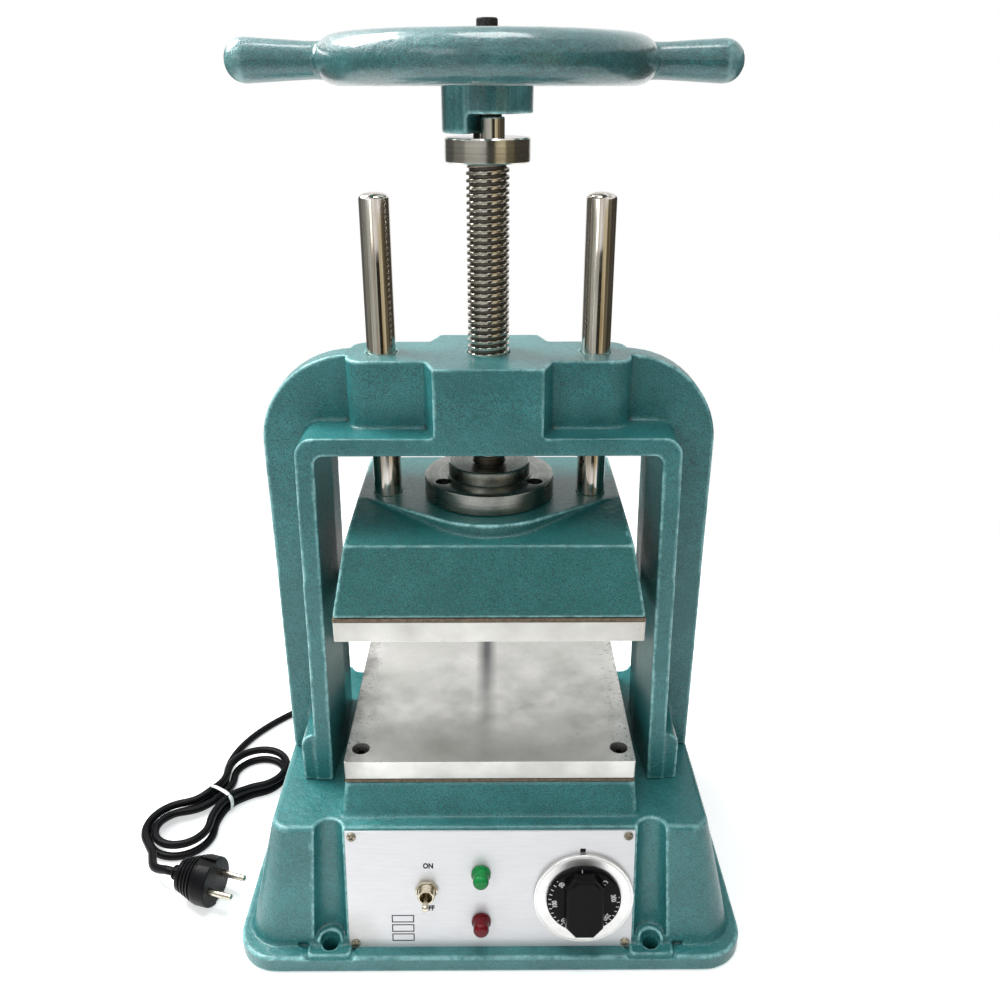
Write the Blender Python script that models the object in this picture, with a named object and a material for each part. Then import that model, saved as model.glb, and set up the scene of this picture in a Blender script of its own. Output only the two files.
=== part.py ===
"""Bench press with two heated platens, for vulcanizing rubber jewelry moulds.

Metres, +Z up, the front towards -Y. The origin is on the floor, under the axis of
the press screw. A hollow iron base carries the lower platen, the controls and an arch;
the screw in the arch moves a head with the upper platen on two guide posts.
"""

import math

import bmesh
import bpy
from mathutils import Matrix, Vector

# Clearances that every piece shares
GAP = 0.0003
OVERRUN = 0.002
OVERLAP = 0.003

# Platens and their insulation
PLATEN_WIDTH = 0.200
PLATEN_DEPTH = 0.154
PLATEN_THICK = 0.0144
INSULATION_THICK = 0.0022
PLATEN_BOLT_INSET_X = 0.010
PLATEN_BOLT_INSET_Y = 0.0148
PLATEN_BOLT_HEAD_RADIUS = 0.0055
PLATEN_BOLT_HEAD_HEIGHT = 0.0055
PLATEN_BOLT_SHANK_RADIUS = 0.0029
PLATEN_BOLT_SINK = 0.0035
PLATEN_BOLT_BITE = 0.0105
PLATEN_BOLT_CLEARANCE = 0.0006
REAR_BOLT_INSET_X = 0.015
REAR_BOLT_INSET_Y = 0.017
REAR_BOLT_HEAD_HEIGHT = 0.004
REAR_BOLT_BITE = 0.009
HEATER_WIDTH = 0.160
HEATER_DEPTH = 0.110
HEATER_THICK = 0.0034

# Arch casting
WINDOW_SIDE_ROOM = 0.0065
WINDOW_MOUTH_DRAFT = 0.0038
WINDOW_FOOT_SPREAD = 0.0036
WINDOW_CORNER = 0.006
ARCH_HEIGHT = 0.4097
ARCH_CROWN = 0.0557
ARCH_LEG_WIDTH = 0.0426
ARCH_CORNER = 0.060
ARCH_HALF_DEPTH_FOOT = 0.0505
ARCH_HALF_DEPTH_TOP = 0.0445
WEB_HALF_THICK = 0.0105
RIB_THICK = 0.0116
RIB_CORNER = 0.012
CENTRE_BOSS_HALF_WIDTH = 0.034
BOSS_FILLET_RUN = 0.006
POST_BOSS_HALF_DEPTH = 0.0292
POST_BOSS_REACH = 0.0215
POST_BOSS_CORNER = 0.014
FOOT_BLOCK_HEIGHT = 0.0385
FOOT_BLOCK_REACH = 0.0207
FOOT_BLOCK_STEP = 0.0012
FOOT_BLOCK_ROUND_SHARE = 0.6
ARCH_BOLT_RADIUS = 0.005
ARCH_BOLT_HEAD_RADIUS = 0.0085
ARCH_BOLT_HEAD_HEIGHT = 0.006
ARCH_BOLT_BITE = 0.026

# Base casting
TABLE_MARGIN = 0.0006
TABLE_HEIGHT_MARGIN = 0.0005
TABLE_CORNER = 0.012
BLOCK_SIDE = 0.0015
BLOCK_RISE = 0.0206
BLOCK_FOOT_SPREAD = 0.0100
BLOCK_FRONT_ROOM = 0.0120
BLOCK_CORNER = 0.003
BODY_SPREAD_X = 0.0215
BODY_SPREAD_Y = 0.0142
BODY_FOOT_CORNER = 0.024
FLANGE_LEDGE_X = 0.0069
FLANGE_LEDGE_Y = 0.0114
FLANGE_THICK = 0.0115
FLANGE_CORNER = 0.029
BASE_WALL = 0.008
POCKET_FOOT_RADIUS = 0.0117
POCKET_TOP_RADIUS = 0.0095
POCKET_PANEL_MARGIN = 0.0020
HOLE_PAD_RADIUS = 0.0112
HOLE_PAD_RISE = 0.0028
POCKET_FLOOR_DROP = 0.0008
MOUNT_HOLE_RADIUS = 0.0055

# Bottom cover
COVER_THICK = 0.002
COVER_REBATE = 0.0012
COVER_CORNER = 0.020

# Control panel
PANEL_WIDTH = 0.1972
PANEL_HEIGHT = 0.0926
PANEL_THICK = 0.0015
PANEL_FOOT_RISE = 0.0121
PANEL_SCREW_INSET_X = 0.0045
PANEL_SCREW_INSET_Y = 0.0040
PANEL_SCREW_HEAD_RADIUS = 0.0028
PANEL_SCREW_HEAD_HEIGHT = 0.0014
PANEL_SCREW_RADIUS = 0.0014
PANEL_SCREW_LENGTH = 0.007
PANEL_OPENING_MARGIN = 0.011

# Toggle switch, its inset measured from the panel's left edge and its height from the centre
TOGGLE_INSET = 0.0549
TOGGLE_Y = 0.0012
TOGGLE_BUSHING_RADIUS = 0.0058
TOGGLE_BUSHING_LENGTH = 0.0095
TOGGLE_BORE_RADIUS = 0.0042
TOGGLE_BORE_DEPTH = 0.0095
TOGGLE_NUT_RADIUS = 0.0081
TOGGLE_NUT_THICK = 0.0028
TOGGLE_BODY_WIDTH = 0.0135
TOGGLE_BODY_HEIGHT = 0.029
TOGGLE_BODY_DEPTH = 0.020
TOGGLE_LEVER_LENGTH = 0.0155
TOGGLE_LEVER_ROOT_RADIUS = 0.0014
TOGGLE_LEVER_TIP_RADIUS = 0.0024
TOGGLE_BALL_RADIUS = 0.0026
TOGGLE_THROW = math.radians(13)

# Signal lamps, measured from the panel's centre
LAMP_X = -0.0063
LAMP_UPPER_Y = 0.0135
LAMP_LOWER_Y = -0.0245
LENS_RADIUS = 0.0062
LENS_LENGTH = 0.0125
LENS_ROUNDING = 0.004
LAMP_NECK_RADIUS = 0.0050
LAMP_BODY_RADIUS = 0.0066
LAMP_BODY_LENGTH = 0.024

# Thermostat and its dial, the inset from the panel's right edge and the height from the centre
DIAL_INSET = 0.0343
DIAL_Y = -0.0050
DIAL_SKIRT_RADIUS = 0.0256
DIAL_SKIRT_THICK = 0.0025
DIAL_SKIRT_BEVEL = 0.0012
DIAL_GRIP_HALF_WIDTH = 0.0125
DIAL_GRIP_HALF_LENGTH = 0.0225
DIAL_GRIP_HEIGHT = 0.0100
DIAL_GRIP_DRAFT = 0.0022
DIAL_CLEARANCE = 0.0006
DIAL_BORE_DEPTH = 0.009
BEZEL_RADIUS = 0.0345
BEZEL_BORE_RADIUS = 0.0205
BEZEL_THICK = 0.0022
BEZEL_RIM_RISE = 0.0018
BEZEL_RIM_WIDTH = 0.0035
SHAFT_RADIUS = 0.003
SHAFT_REACH = 0.0115
THERMOSTAT_WIDTH = 0.044
THERMOSTAT_HEIGHT = 0.036
THERMOSTAT_DEPTH = 0.028
CAPILLARY_RADIUS = 0.0022
CAPILLARY_STUB = 0.004
CAPILLARY_STEP = 0.006
BULB_DEPTH = 0.006
BULB_FRONT_INSET = 0.0155

# Glands on the back of the base and of the head
CORD_GLAND_X = -0.085
CORD_GLAND_HEIGHT = 0.050
LEAD_GLAND_X = 0.085
LEAD_GLAND_HEIGHT = 0.070
HEAD_GLAND_RISE = 0.022
GLAND_HEX_RADIUS = 0.0110
GLAND_HEX_THICK = 0.006
GLAND_THREAD_RADIUS = 0.0075
GLAND_BACK_REACH = 0.006
GLAND_NOSE_LENGTH = 0.026
GLAND_NOSE_ROOT_RADIUS = 0.0068
GLAND_NOSE_TIP_RADIUS = 0.0046
LEAD_GLAND_NOSE = 0.004

# Head casting, heights above its underside; its room is what the collar has under the arch
HEAD_ROOM = 0.0192
HEAD_FOLD_RISE = 0.046
HEAD_HEIGHT = 0.0558
HEAD_FOLD_INSET_X = 0.0085
HEAD_FOLD_INSET_Y = 0.011
HEAD_TOP_INSET_X = 0.0115
HEAD_TOP_INSET_Y = 0.011
HEAD_TOP_FRONT = 0.011
HEAD_PLATEAU_RADIUS = 0.057
HEAD_EAR_RADIUS = 0.0180
HEAD_PLATEAU_DEPTH = 0.020

# Guide posts
POST_SPACING = 0.1384
POST_RADIUS = 0.0094
POST_TOP_RISE = 0.1963
POST_SOCKET_DEPTH = 0.036
POST_DOME = 0.0035

# Thrust collar and bearing
COLLAR_RADIUS = 0.0438
COLLAR_THICK = 0.0137
COLLAR_HUB_RADIUS = 0.0275
COLLAR_HUB_RISE = 0.0091
COLLAR_SPIGOT_RADIUS = 0.0222
COLLAR_SPIGOT_DEPTH = 0.006
COLLAR_BOLT_CIRCLE = 0.0350
COLLAR_BOLT_HEAD_RADIUS = 0.0048
COLLAR_BOLT_HEAD_HEIGHT = 0.005
COLLAR_BOLT_SINK = 0.004
COLLAR_BOLT_RADIUS = 0.0024
COLLAR_BOLT_BITE = 0.010
COLLAR_BOLTS = 3
COLLAR_BOLT_START = math.radians(90)
BEARING_RADIUS = 0.0200
BEARING_BORE_RADIUS = 0.0105
BEARING_THICK = 0.007
SCREW_FOOT_RADIUS = 0.0195
SCREW_FOOT_THICK = 0.007

# Press screw, drive collar and pin
SCREW_RADIUS = 0.0133
SCREW_ROOT_RADIUS = 0.0113
SCREW_PITCH = 0.0254 / 6
SCREW_SIDES = 16
SCREW_NECK_RADIUS = 0.0100
SCREW_THREAD_START = 0.0035
DRIVE_COLLAR_RISE = 0.1901
DRIVE_COLLAR_RADIUS = 0.0256
DRIVE_COLLAR_THICK = 0.0141
DRIVE_PIN_RADIUS = 0.0072
DRIVE_PIN_HEIGHT = 0.0116
DRIVE_PIN_CIRCLE = 0.0172
DRIVE_PIN_AZIMUTH = math.radians(280)
DRIVE_PIN_SEAT = 0.010
SPIGOT_RADIUS = 0.0085

# Handwheel
WHEEL_TURN = math.radians(2.5)
WHEEL_RIM_RADIUS = 0.0840
WHEEL_RIM_HALF_WIDTH = 0.0140
WHEEL_RIM_HALF_HEIGHT = 0.0134
WHEEL_RIM_POWER = 2.1
WHEEL_HUB_RADIUS = 0.0270
WHEEL_HUB_TOP_RISE = 0.0115
WHEEL_HUB_LIFT = 0.0129
WHEEL_RIM_LIFT = 0.0409
WHEEL_DOG_CLEARANCE = 0.0023
WHEEL_DOG_START = math.radians(154)
WHEEL_DOG_END = math.radians(244)
WHEEL_SPOKES = 4
WHEEL_SPOKE_HALF_WIDTH = 0.0085
WHEEL_SPOKE_HALF_HEIGHT = 0.0065
HANDLE_REACH = 0.1493
HANDLE_ROOT_RADIUS = 0.0100
HANDLE_TIP_RADIUS = 0.0122
HANDLE_TIP_ROUNDING = 0.0115
WASHER_RADIUS = 0.0130
WASHER_THICK = 0.002
WHEEL_BOLT_HEAD_RADIUS = 0.0062
WHEEL_BOLT_HEAD_HEIGHT = 0.0080
WHEEL_BOLT_RADIUS = 0.0038
WHEEL_BOLT_BITE = 0.018

# Mains cord, its hank, tie and plug
CORD_RADIUS = 0.00325
CORD_STEP = 0.0155
HANK_CENTRE = Vector((-0.2300, 0.0430, 0))
HANK_AXIS = math.radians(57)
HANK_HALF_LENGTH = 0.0625
HANK_FOLD_RADIUS = 0.020
HANK_WAIST_HALF = 0.0040
HANK_CLEARANCE = 0.0009
HANK_CLIMB = 0.0081
HANK_WAIST_SPREAD = 0.0006
HANK_POINTS_PER_LOOP = 24
HANK_STRETCHES = 56
HANK_CLIMB_SHARE = 0.5
TIE_THICK = 0.0008
TIE_WIDTH = 0.0042
TIE_CLEARANCE = 0.0005
PLUG_FACE = Vector((-0.2060, -0.0605, 0))
PLUG_TURN = math.radians(-17)
PLUG_RADIUS = 0.0185
PLUG_FACE_THICK = 0.011
PLUG_BACK_RADIUS = 0.0130
PLUG_LENGTH = 0.030
PLUG_NOTCH_DEPTH = 0.0025
PLUG_NOTCH_HALF_WIDTH = 0.004
PLUG_BOSS_RADIUS = 0.0055
PLUG_BOSS_LENGTH = 0.006
PIN_RADIUS = 0.0024
PIN_LENGTH = 0.019
PIN_SPACING = 0.019
PIN_SEAT = 0.008
PIN_TIP_BEVEL = 0.0008

# The routes are chosen by hand: the lead drops from the gland to the floor and runs round to the
# hank, and the tail goes from the hank into the back of the plug
LEAD_ROUTE = [
    (-0.0855, 0.1720, 0.0525), (-0.0885, 0.1890, 0.0450), (-0.0945, 0.2030, 0.0320),
    (-0.1035, 0.2120, 0.0180), (-0.1180, 0.2150, 0.0076), (-0.1360, 0.2110, 0.0038),
    (-0.1560, 0.2000, 0.0034), (-0.1770, 0.1845, 0.0034), (-0.1960, 0.1680, 0.0034),
    (-0.2120, 0.1510, 0.0034), (-0.2240, 0.1340, 0.0034), (-0.2320, 0.1170, 0.0034),
    (-0.2362, 0.1010, 0.0034),
]
TAIL_ROUTE = [(-0.2600, -0.0400, 0.0140)]

# Finishes: colour, roughness, metallic
PAINT = ((0.075, 0.215, 0.225), 0.32, 0.45)
ALUMINIUM = ((0.72, 0.71, 0.69), 0.42, 1.0)
STEEL = ((0.45, 0.44, 0.42), 0.30, 1.0)
DARK_STEEL = ((0.22, 0.21, 0.20), 0.35, 1.0)
CHROME = ((0.78, 0.77, 0.75), 0.08, 1.0)
BLACK_OXIDE = ((0.02, 0.02, 0.022), 0.45, 0.8)
SILVER_PANEL = ((0.70, 0.71, 0.73), 0.38, 0.6)
BLACK_PLASTIC = ((0.012, 0.012, 0.013), 0.22, 0.0)
CORD_BLACK = ((0.015, 0.015, 0.016), 0.45, 0.0)
NICKEL = ((0.62, 0.57, 0.46), 0.25, 1.0)
INSULATION = ((0.19, 0.15, 0.11), 0.90, 0.0)
MICA = ((0.33, 0.27, 0.20), 0.60, 0.0)
GREEN_LENS = ((0.010, 0.30, 0.060), 0.15, 0.0)
RED_LENS = ((0.25, 0.010, 0.020), 0.15, 0.0)
WHITE_PLASTIC = ((0.80, 0.80, 0.78), 0.50, 0.0)
COPPER = ((0.55, 0.27, 0.15), 0.35, 1.0)

# Sizes that follow from those above
PLATEN_HALF_X = PLATEN_WIDTH / 2
PLATEN_HALF_Y = PLATEN_DEPTH / 2
WINDOW_WAIST = PLATEN_HALF_X + WINDOW_SIDE_ROOM
ARCH_HALF_WIDTH = WINDOW_WAIST + ARCH_LEG_WIDTH
TABLE_HALF_X = ARCH_HALF_WIDTH + TABLE_MARGIN
BLOCK_FOOT_HALF_Y = PLATEN_HALF_Y + BLOCK_FOOT_SPREAD
TABLE_HALF_Y = BLOCK_FOOT_HALF_Y + BLOCK_FRONT_ROOM
BODY_FOOT_HALF_X = TABLE_HALF_X + BODY_SPREAD_X
BODY_FOOT_HALF_Y = TABLE_HALF_Y + BODY_SPREAD_Y
FLANGE_HALF_X = BODY_FOOT_HALF_X + FLANGE_LEDGE_X
FLANGE_HALF_Y = BODY_FOOT_HALF_Y + FLANGE_LEDGE_Y
TABLE_HEIGHT = PANEL_FOOT_RISE + PANEL_HEIGHT + TABLE_HEIGHT_MARGIN
FACE_TILT = math.atan2(BODY_SPREAD_Y, TABLE_HEIGHT - FLANGE_THICK)
BLOCK_TOP = TABLE_HEIGHT + BLOCK_RISE
LOWER_PLATEN_BOTTOM = BLOCK_TOP + INSULATION_THICK + 2 * GAP
WINDOW_TOP = ARCH_HEIGHT - ARCH_CROWN
COLLAR_HUB_TOP = HEAD_HEIGHT + GAP + COLLAR_THICK + COLLAR_HUB_RISE
HEAD_BOTTOM = WINDOW_TOP - HEAD_ROOM - COLLAR_HUB_TOP
ARCH_FOOT = TABLE_HEIGHT + GAP
POST_X = POST_SPACING / 2
POCKET_FOOT_X = PANEL_WIDTH / 2 + POCKET_PANEL_MARGIN + POCKET_FOOT_RADIUS
POCKET_TOP_X = PANEL_WIDTH / 2 + POCKET_PANEL_MARGIN + POCKET_TOP_RADIUS
BULB_Y = -PLATEN_HALF_Y + BULB_FRONT_INSET
TOGGLE_X = TOGGLE_INSET - PANEL_WIDTH / 2
DIAL_X = PANEL_WIDTH / 2 - DIAL_INSET
DRIVE_COLLAR_BOTTOM = COLLAR_HUB_TOP + DRIVE_COLLAR_RISE
DRIVE_COLLAR_TOP = DRIVE_COLLAR_BOTTOM + DRIVE_COLLAR_THICK
WHEEL_MIDDLE = DRIVE_COLLAR_TOP + WHEEL_RIM_LIFT
SPIGOT_TOP = WHEEL_MIDDLE + WHEEL_HUB_TOP_RISE + GAP
CORD_DIAMETER = 2 * CORD_RADIUS
HANK_STEP = CORD_DIAMETER + HANK_CLEARANCE
HANK_FLOOR = CORD_RADIUS + TIE_CLEARANCE / 10
HANK_LIFT = TIE_THICK + TIE_CLEARANCE
SMOOTH_ANGLE = math.radians(40)
FINE_STEPS = 8


# Outlines, each a list of points that runs anticlockwise

def arc(centre, radius, start, end, steps):
    """Points on an arc from one angle to another, both ends included."""
    points = []
    for step in range(steps + 1):
        angle = start + (end - start) * step / steps
        points.append((centre[0] + radius * math.cos(angle), centre[1] + radius * math.sin(angle)))
    return points


def circle(radius, sides, centre=(0, 0), turn=0.0):
    return arc(centre, radius, turn, turn + math.tau, sides)[:-1]


def rounded_rectangle(half_x, half_y, radius, steps=4):
    """A rectangle about the origin with round corners."""
    outline = []
    for quarter, (sign_x, sign_y) in enumerate(((1, 1), (-1, 1), (-1, -1), (1, -1))):
        centre = (sign_x * (half_x - radius), sign_y * (half_y - radius))
        start = quarter * math.pi / 2
        outline += arc(centre, radius, start, start + math.pi / 2, steps)
    return outline


def mirrored_x(points):
    """The same points on the other side of X = 0, in the order that closes an outline."""
    return [(-x, y) for x, y in reversed(points)]


# Solids

def solid(bm):
    """Make an object of a finished closed bmesh, with its faces pointing out."""
    bmesh.ops.recalc_face_normals(bm, faces=bm.faces)
    mesh = bpy.data.meshes.new("shape")
    bm.to_mesh(mesh)
    bm.free()
    shape = bpy.data.objects.new("shape", mesh)
    bpy.context.scene.collection.objects.link(shape)
    return shape


def loft(rings, closed=False):
    """Skin rings of equal point counts; a closed loft joins its last ring to its first."""
    bm = bmesh.new()
    loops = [[bm.verts.new(point) for point in ring] for ring in rings]
    pairs = list(zip(loops, loops[1:]))
    if closed:
        pairs.append((loops[-1], loops[0]))
    for lower, upper in pairs:
        count = len(lower)
        for index in range(count):
            after = (index + 1) % count
            bm.faces.new((lower[index], lower[after], upper[after], upper[index]))
    if not closed:
        bm.faces.new(reversed(loops[0]))
        bm.faces.new(loops[-1])
    return solid(bm)


def revolve(profile, sides, closed=False):
    """Turn a profile of (radius, height) points about Z; closed makes a ring of a looped profile."""
    rings = [[(x, y, height) for x, y in circle(radius, sides)] for radius, height in profile]
    return loft(rings, closed)


def cylinder(radius, low, high, sides, centre=(0, 0)):
    rings = [[(x, y, z) for x, y in circle(radius, sides, centre)] for z in (low, high)]
    return loft(rings)


def prism(outline, low, high, axis="Z"):
    """Extrude an outline along Z, or an (x, z) outline along Y."""
    if axis == "Z":
        return loft([[(a, b, level) for a, b in outline] for level in (low, high)])
    return loft([[(a, level, b) for a, b in outline] for level in (low, high)])


def box(low, high):
    outline = [(low[0], low[1]), (high[0], low[1]), (high[0], high[1]), (low[0], high[1])]
    return prism(outline, low[2], high[2])


def hull(points):
    bm = bmesh.new()
    for point in points:
        bm.verts.new(point)
    found = bmesh.ops.convex_hull(bm, input=bm.verts)
    inside = set(found["geom_interior"]) | set(found["geom_unused"])
    spare = [item for item in inside if isinstance(item, bmesh.types.BMVert)]
    bmesh.ops.delete(bm, geom=spare, context="VERTS")
    return solid(bm)


def placed(shape, matrix):
    shape.data.transform(matrix)
    shape.data.update()
    return shape


def combine(shape, tool, operation):
    """Apply one exact Boolean and delete the tool."""
    modifier = shape.modifiers.new(operation.lower(), "BOOLEAN")
    modifier.operation = operation
    modifier.solver = "EXACT"
    modifier.object = tool
    bpy.context.view_layer.update()
    evaluated = shape.evaluated_get(bpy.context.evaluated_depsgraph_get())
    mesh = bpy.data.meshes.new_from_object(evaluated)
    shape.modifiers.clear()
    old = shape.data
    shape.data = mesh
    bpy.data.meshes.remove(old)
    bpy.data.objects.remove(tool)
    return shape


def join(shape, *tools):
    for tool in tools:
        combine(shape, tool, "UNION")
    return shape


def cut(shape, *tools):
    for tool in tools:
        combine(shape, tool, "DIFFERENCE")
    return shape


def bore(radius, sides):
    """The radius of a faceted bore that clears a shaft by the shared gap at its flats."""
    return (radius + GAP) / math.cos(math.pi / sides)


# Placing and finishing

def axes(name, matrix, parent=None):
    """An empty that carries the pieces of one body or one face."""
    empty = bpy.data.objects.new(name, None)
    empty.empty_display_size = PLATEN_THICK
    bpy.context.scene.collection.objects.link(empty)
    empty.parent = parent
    empty.matrix_local = matrix
    return empty


def material(name, finish):
    colour, roughness, metallic = finish
    made = bpy.data.materials.new(name)
    made.use_nodes = True
    shader = made.node_tree.nodes["Principled BSDF"]
    shader.inputs["Base Color"].default_value = (*colour, 1)
    shader.inputs["Roughness"].default_value = roughness
    shader.inputs["Metallic"].default_value = metallic
    return made


def piece(name, shape, finish, parent):
    """Name a finished shape, give it its material and hang it on its carrier."""
    shape.name = name
    shape.data.name = name
    shape.parent = parent
    shape.data.materials.clear()
    shape.data.materials.append(material(name, finish))
    if shape.type == "MESH":
        shape.data.shade_smooth()
        shape.data.set_sharp_from_angle(angle=SMOOTH_ANGLE)
    return shape


def face_matrix(x, height, side):
    """A frame on the drafted front or back face: local Z points out, local Y up the face."""
    half_y = body_half(height)[1]
    up = Vector((0, -side * math.sin(FACE_TILT), math.cos(FACE_TILT)))
    out = Vector((0, side * math.cos(FACE_TILT), math.sin(FACE_TILT)))
    across = up.cross(out)
    turn = Matrix((across, up, out)).transposed().to_4x4()
    return Matrix.Translation((x, side * half_y, height)) @ turn


def body_half(height):
    """Half the width and half the depth of the base casting's drafted body at a height."""
    share = (TABLE_HEIGHT - height) / (TABLE_HEIGHT - FLANGE_THICK)
    return TABLE_HALF_X + BODY_SPREAD_X * share, TABLE_HALF_Y + BODY_SPREAD_Y * share


def body_ring(half, corner, height):
    return [(x, y, height) for x, y in rounded_rectangle(half[0], half[1], corner)]


def corners(x, y):
    return [(sign_x * x, sign_y * y) for sign_x in (-1, 1) for sign_y in (-1, 1)]


# Base casting

def pocket(corner, margin, low, high):
    """A tapering half-round pocket beside the panel, over one mounting hole."""
    sign_x, sign_y = (math.copysign(1, value) for value in corner)
    rings = []
    for level in (low, high):
        share = (level - FLANGE_THICK) / (TABLE_HEIGHT - FLANGE_THICK)
        x = POCKET_FOOT_X + (POCKET_TOP_X - POCKET_FOOT_X) * share
        radius = POCKET_FOOT_RADIUS + (POCKET_TOP_RADIUS - POCKET_FOOT_RADIUS) * share + margin
        centre = (sign_x * x, sign_y * body_half(level)[1])
        rings.append([(a, b, level) for a, b in circle(radius, 20, centre)])
    return loft(rings)


def base_cavity():
    """The hollow of the base, with the pocket walls left standing."""
    ceiling = TABLE_HEIGHT - BASE_WALL
    foot = [half - BASE_WALL for half in (BODY_FOOT_HALF_X, BODY_FOOT_HALF_Y)]
    top = [half - BASE_WALL for half in body_half(ceiling)]
    cavity = loft([
        body_ring(foot, BODY_FOOT_CORNER - BASE_WALL, -OVERRUN),
        body_ring(foot, BODY_FOOT_CORNER - BASE_WALL, FLANGE_THICK),
        body_ring(top, TABLE_CORNER - BASE_WALL, ceiling),
    ])
    block_half = (PLATEN_HALF_X - BASE_WALL, PLATEN_HALF_Y - BASE_WALL)
    join(cavity, box((-block_half[0], -block_half[1], ceiling - OVERLAP),
                     (block_half[0], block_half[1], BLOCK_TOP - BASE_WALL)))
    for place in corners(POCKET_FOOT_X, BODY_FOOT_HALF_Y):
        cut(cavity, pocket(place, BASE_WALL, -2 * OVERRUN, TABLE_HEIGHT))
    return cavity


def cover_half(clearance):
    spread = COVER_REBATE - BASE_WALL - clearance
    return BODY_FOOT_HALF_X + spread, BODY_FOOT_HALF_Y + spread


def base_casting():
    body_foot = (BODY_FOOT_HALF_X, BODY_FOOT_HALF_Y)
    flange = (FLANGE_HALF_X, FLANGE_HALF_Y)
    base = loft([
        body_ring(flange, FLANGE_CORNER, 0),
        body_ring(flange, FLANGE_CORNER, FLANGE_THICK),
        body_ring(body_foot, BODY_FOOT_CORNER, FLANGE_THICK),
        body_ring((TABLE_HALF_X, TABLE_HALF_Y), TABLE_CORNER, TABLE_HEIGHT),
    ])
    block_foot = (PLATEN_HALF_X + BLOCK_SIDE, BLOCK_FOOT_HALF_Y)
    join(base, loft([
        body_ring(block_foot, BLOCK_CORNER, TABLE_HEIGHT - OVERLAP),
        body_ring(block_foot, BLOCK_CORNER, TABLE_HEIGHT),
        body_ring((PLATEN_HALF_X, PLATEN_HALF_Y), BLOCK_CORNER, BLOCK_TOP),
    ]))
    pad_top = FLANGE_THICK + HOLE_PAD_RISE
    for place in corners(POCKET_FOOT_X, BODY_FOOT_HALF_Y):
        cut(base, pocket(place, 0, pad_top - POCKET_FLOOR_DROP, TABLE_HEIGHT + OVERRUN))
        join(base, cylinder(HOLE_PAD_RADIUS, FLANGE_THICK - OVERLAP, pad_top, 20, place))
    cut(base, base_cavity())
    cut(base, loft([
        body_ring(cover_half(0), COVER_CORNER, -OVERRUN),
        body_ring(cover_half(0), COVER_CORNER, COVER_THICK + GAP),
    ]))
    for place in corners(POCKET_FOOT_X, BODY_FOOT_HALF_Y):
        cut(base, cylinder(MOUNT_HOLE_RADIUS, -OVERRUN, pad_top + OVERRUN, 16, place))
    for place in arch_bolt_places():
        low, high = TABLE_HEIGHT - BASE_WALL - OVERRUN, TABLE_HEIGHT + OVERRUN
        cut(base, cylinder(bore(ARCH_BOLT_RADIUS, 12), low, high, 12, place))
    for place in front_bolt_places() + rear_bolt_places():
        low = BLOCK_TOP - PLATEN_BOLT_BITE - GAP
        cut(base, cylinder(bore(PLATEN_BOLT_SHANK_RADIUS, 10), low, BLOCK_TOP + OVERRUN, 10, place))
    cut(base, cylinder(bore(CAPILLARY_RADIUS, 8), BLOCK_TOP - BASE_WALL - OVERRUN,
                       BLOCK_TOP + OVERRUN, 8, (DIAL_X, BULB_Y)))
    half_x = PANEL_WIDTH / 2 - PANEL_OPENING_MARGIN
    half_y = PANEL_HEIGHT / 2 - PANEL_OPENING_MARGIN
    opening = box((-half_x, -half_y, -2 * BASE_WALL), (half_x, half_y, OVERRUN))
    cut(base, placed(opening, panel_matrix()))
    for place in panel_screw_places():
        hole = cylinder(bore(PANEL_SCREW_RADIUS, 8), -PANEL_SCREW_LENGTH, OVERRUN, 8, place)
        cut(base, placed(hole, panel_matrix()))
    for matrix in (cord_gland_matrix(), lead_gland_matrix()):
        hole = cylinder(bore(GLAND_THREAD_RADIUS, 16), -2 * BASE_WALL, OVERRUN, 16)
        cut(base, placed(hole, matrix))
    return base


def bottom_cover():
    """A sheet that lies flush in the rebate under the base."""
    return loft([
        body_ring(cover_half(GAP), COVER_CORNER, 0),
        body_ring(cover_half(GAP), COVER_CORNER, COVER_THICK),
    ])


# Arch casting

def arch_bolt_places():
    middle = WINDOW_WAIST + WINDOW_MOUTH_DRAFT + WINDOW_FOOT_SPREAD + FOOT_BLOCK_REACH / 2
    return [(-middle, 0), (middle, 0)]


def window_outline(margin, foot, corner):
    """The window's outline in (x, z), grown by a margin, with its foot at a given height."""
    half = WINDOW_WAIST + WINDOW_MOUTH_DRAFT + margin
    top = WINDOW_TOP + max(margin, 0)
    right = [(half + WINDOW_FOOT_SPREAD, foot), (half, top - corner)]
    right += arc((half - corner, top - corner), corner, 0, math.pi / 2, 3)[1:]
    return right + mirrored_x(right)


def arch_web():
    corner = ARCH_CORNER
    right = [(ARCH_HALF_WIDTH, ARCH_FOOT), (ARCH_HALF_WIDTH, ARCH_HEIGHT - corner)]
    centre = (ARCH_HALF_WIDTH - corner, ARCH_HEIGHT - corner)
    right += arc(centre, corner, 0, math.pi / 2, 8)[1:]
    return prism(right + mirrored_x(right), -WEB_HALF_THICK, WEB_HALF_THICK, "Y")


def arch_bosses():
    """The centre boss around the screw and the two bosses around the posts, as one block."""
    inner = CENTRE_BOSS_HALF_WIDTH
    outer = POST_X + POST_BOSS_REACH
    corner = POST_BOSS_CORNER
    quarter = arc((outer - corner, POST_BOSS_HALF_DEPTH - corner), corner, 0, math.pi / 2, 4)
    quarter += [(inner + BOSS_FILLET_RUN, POST_BOSS_HALF_DEPTH), (inner, ARCH_HALF_DEPTH_FOOT)]
    half = quarter + mirrored_x(quarter)
    outline = half + [(-x, -y) for x, y in half]
    return prism(outline, WINDOW_TOP + RIB_THICK / 2, ARCH_HEIGHT)


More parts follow.
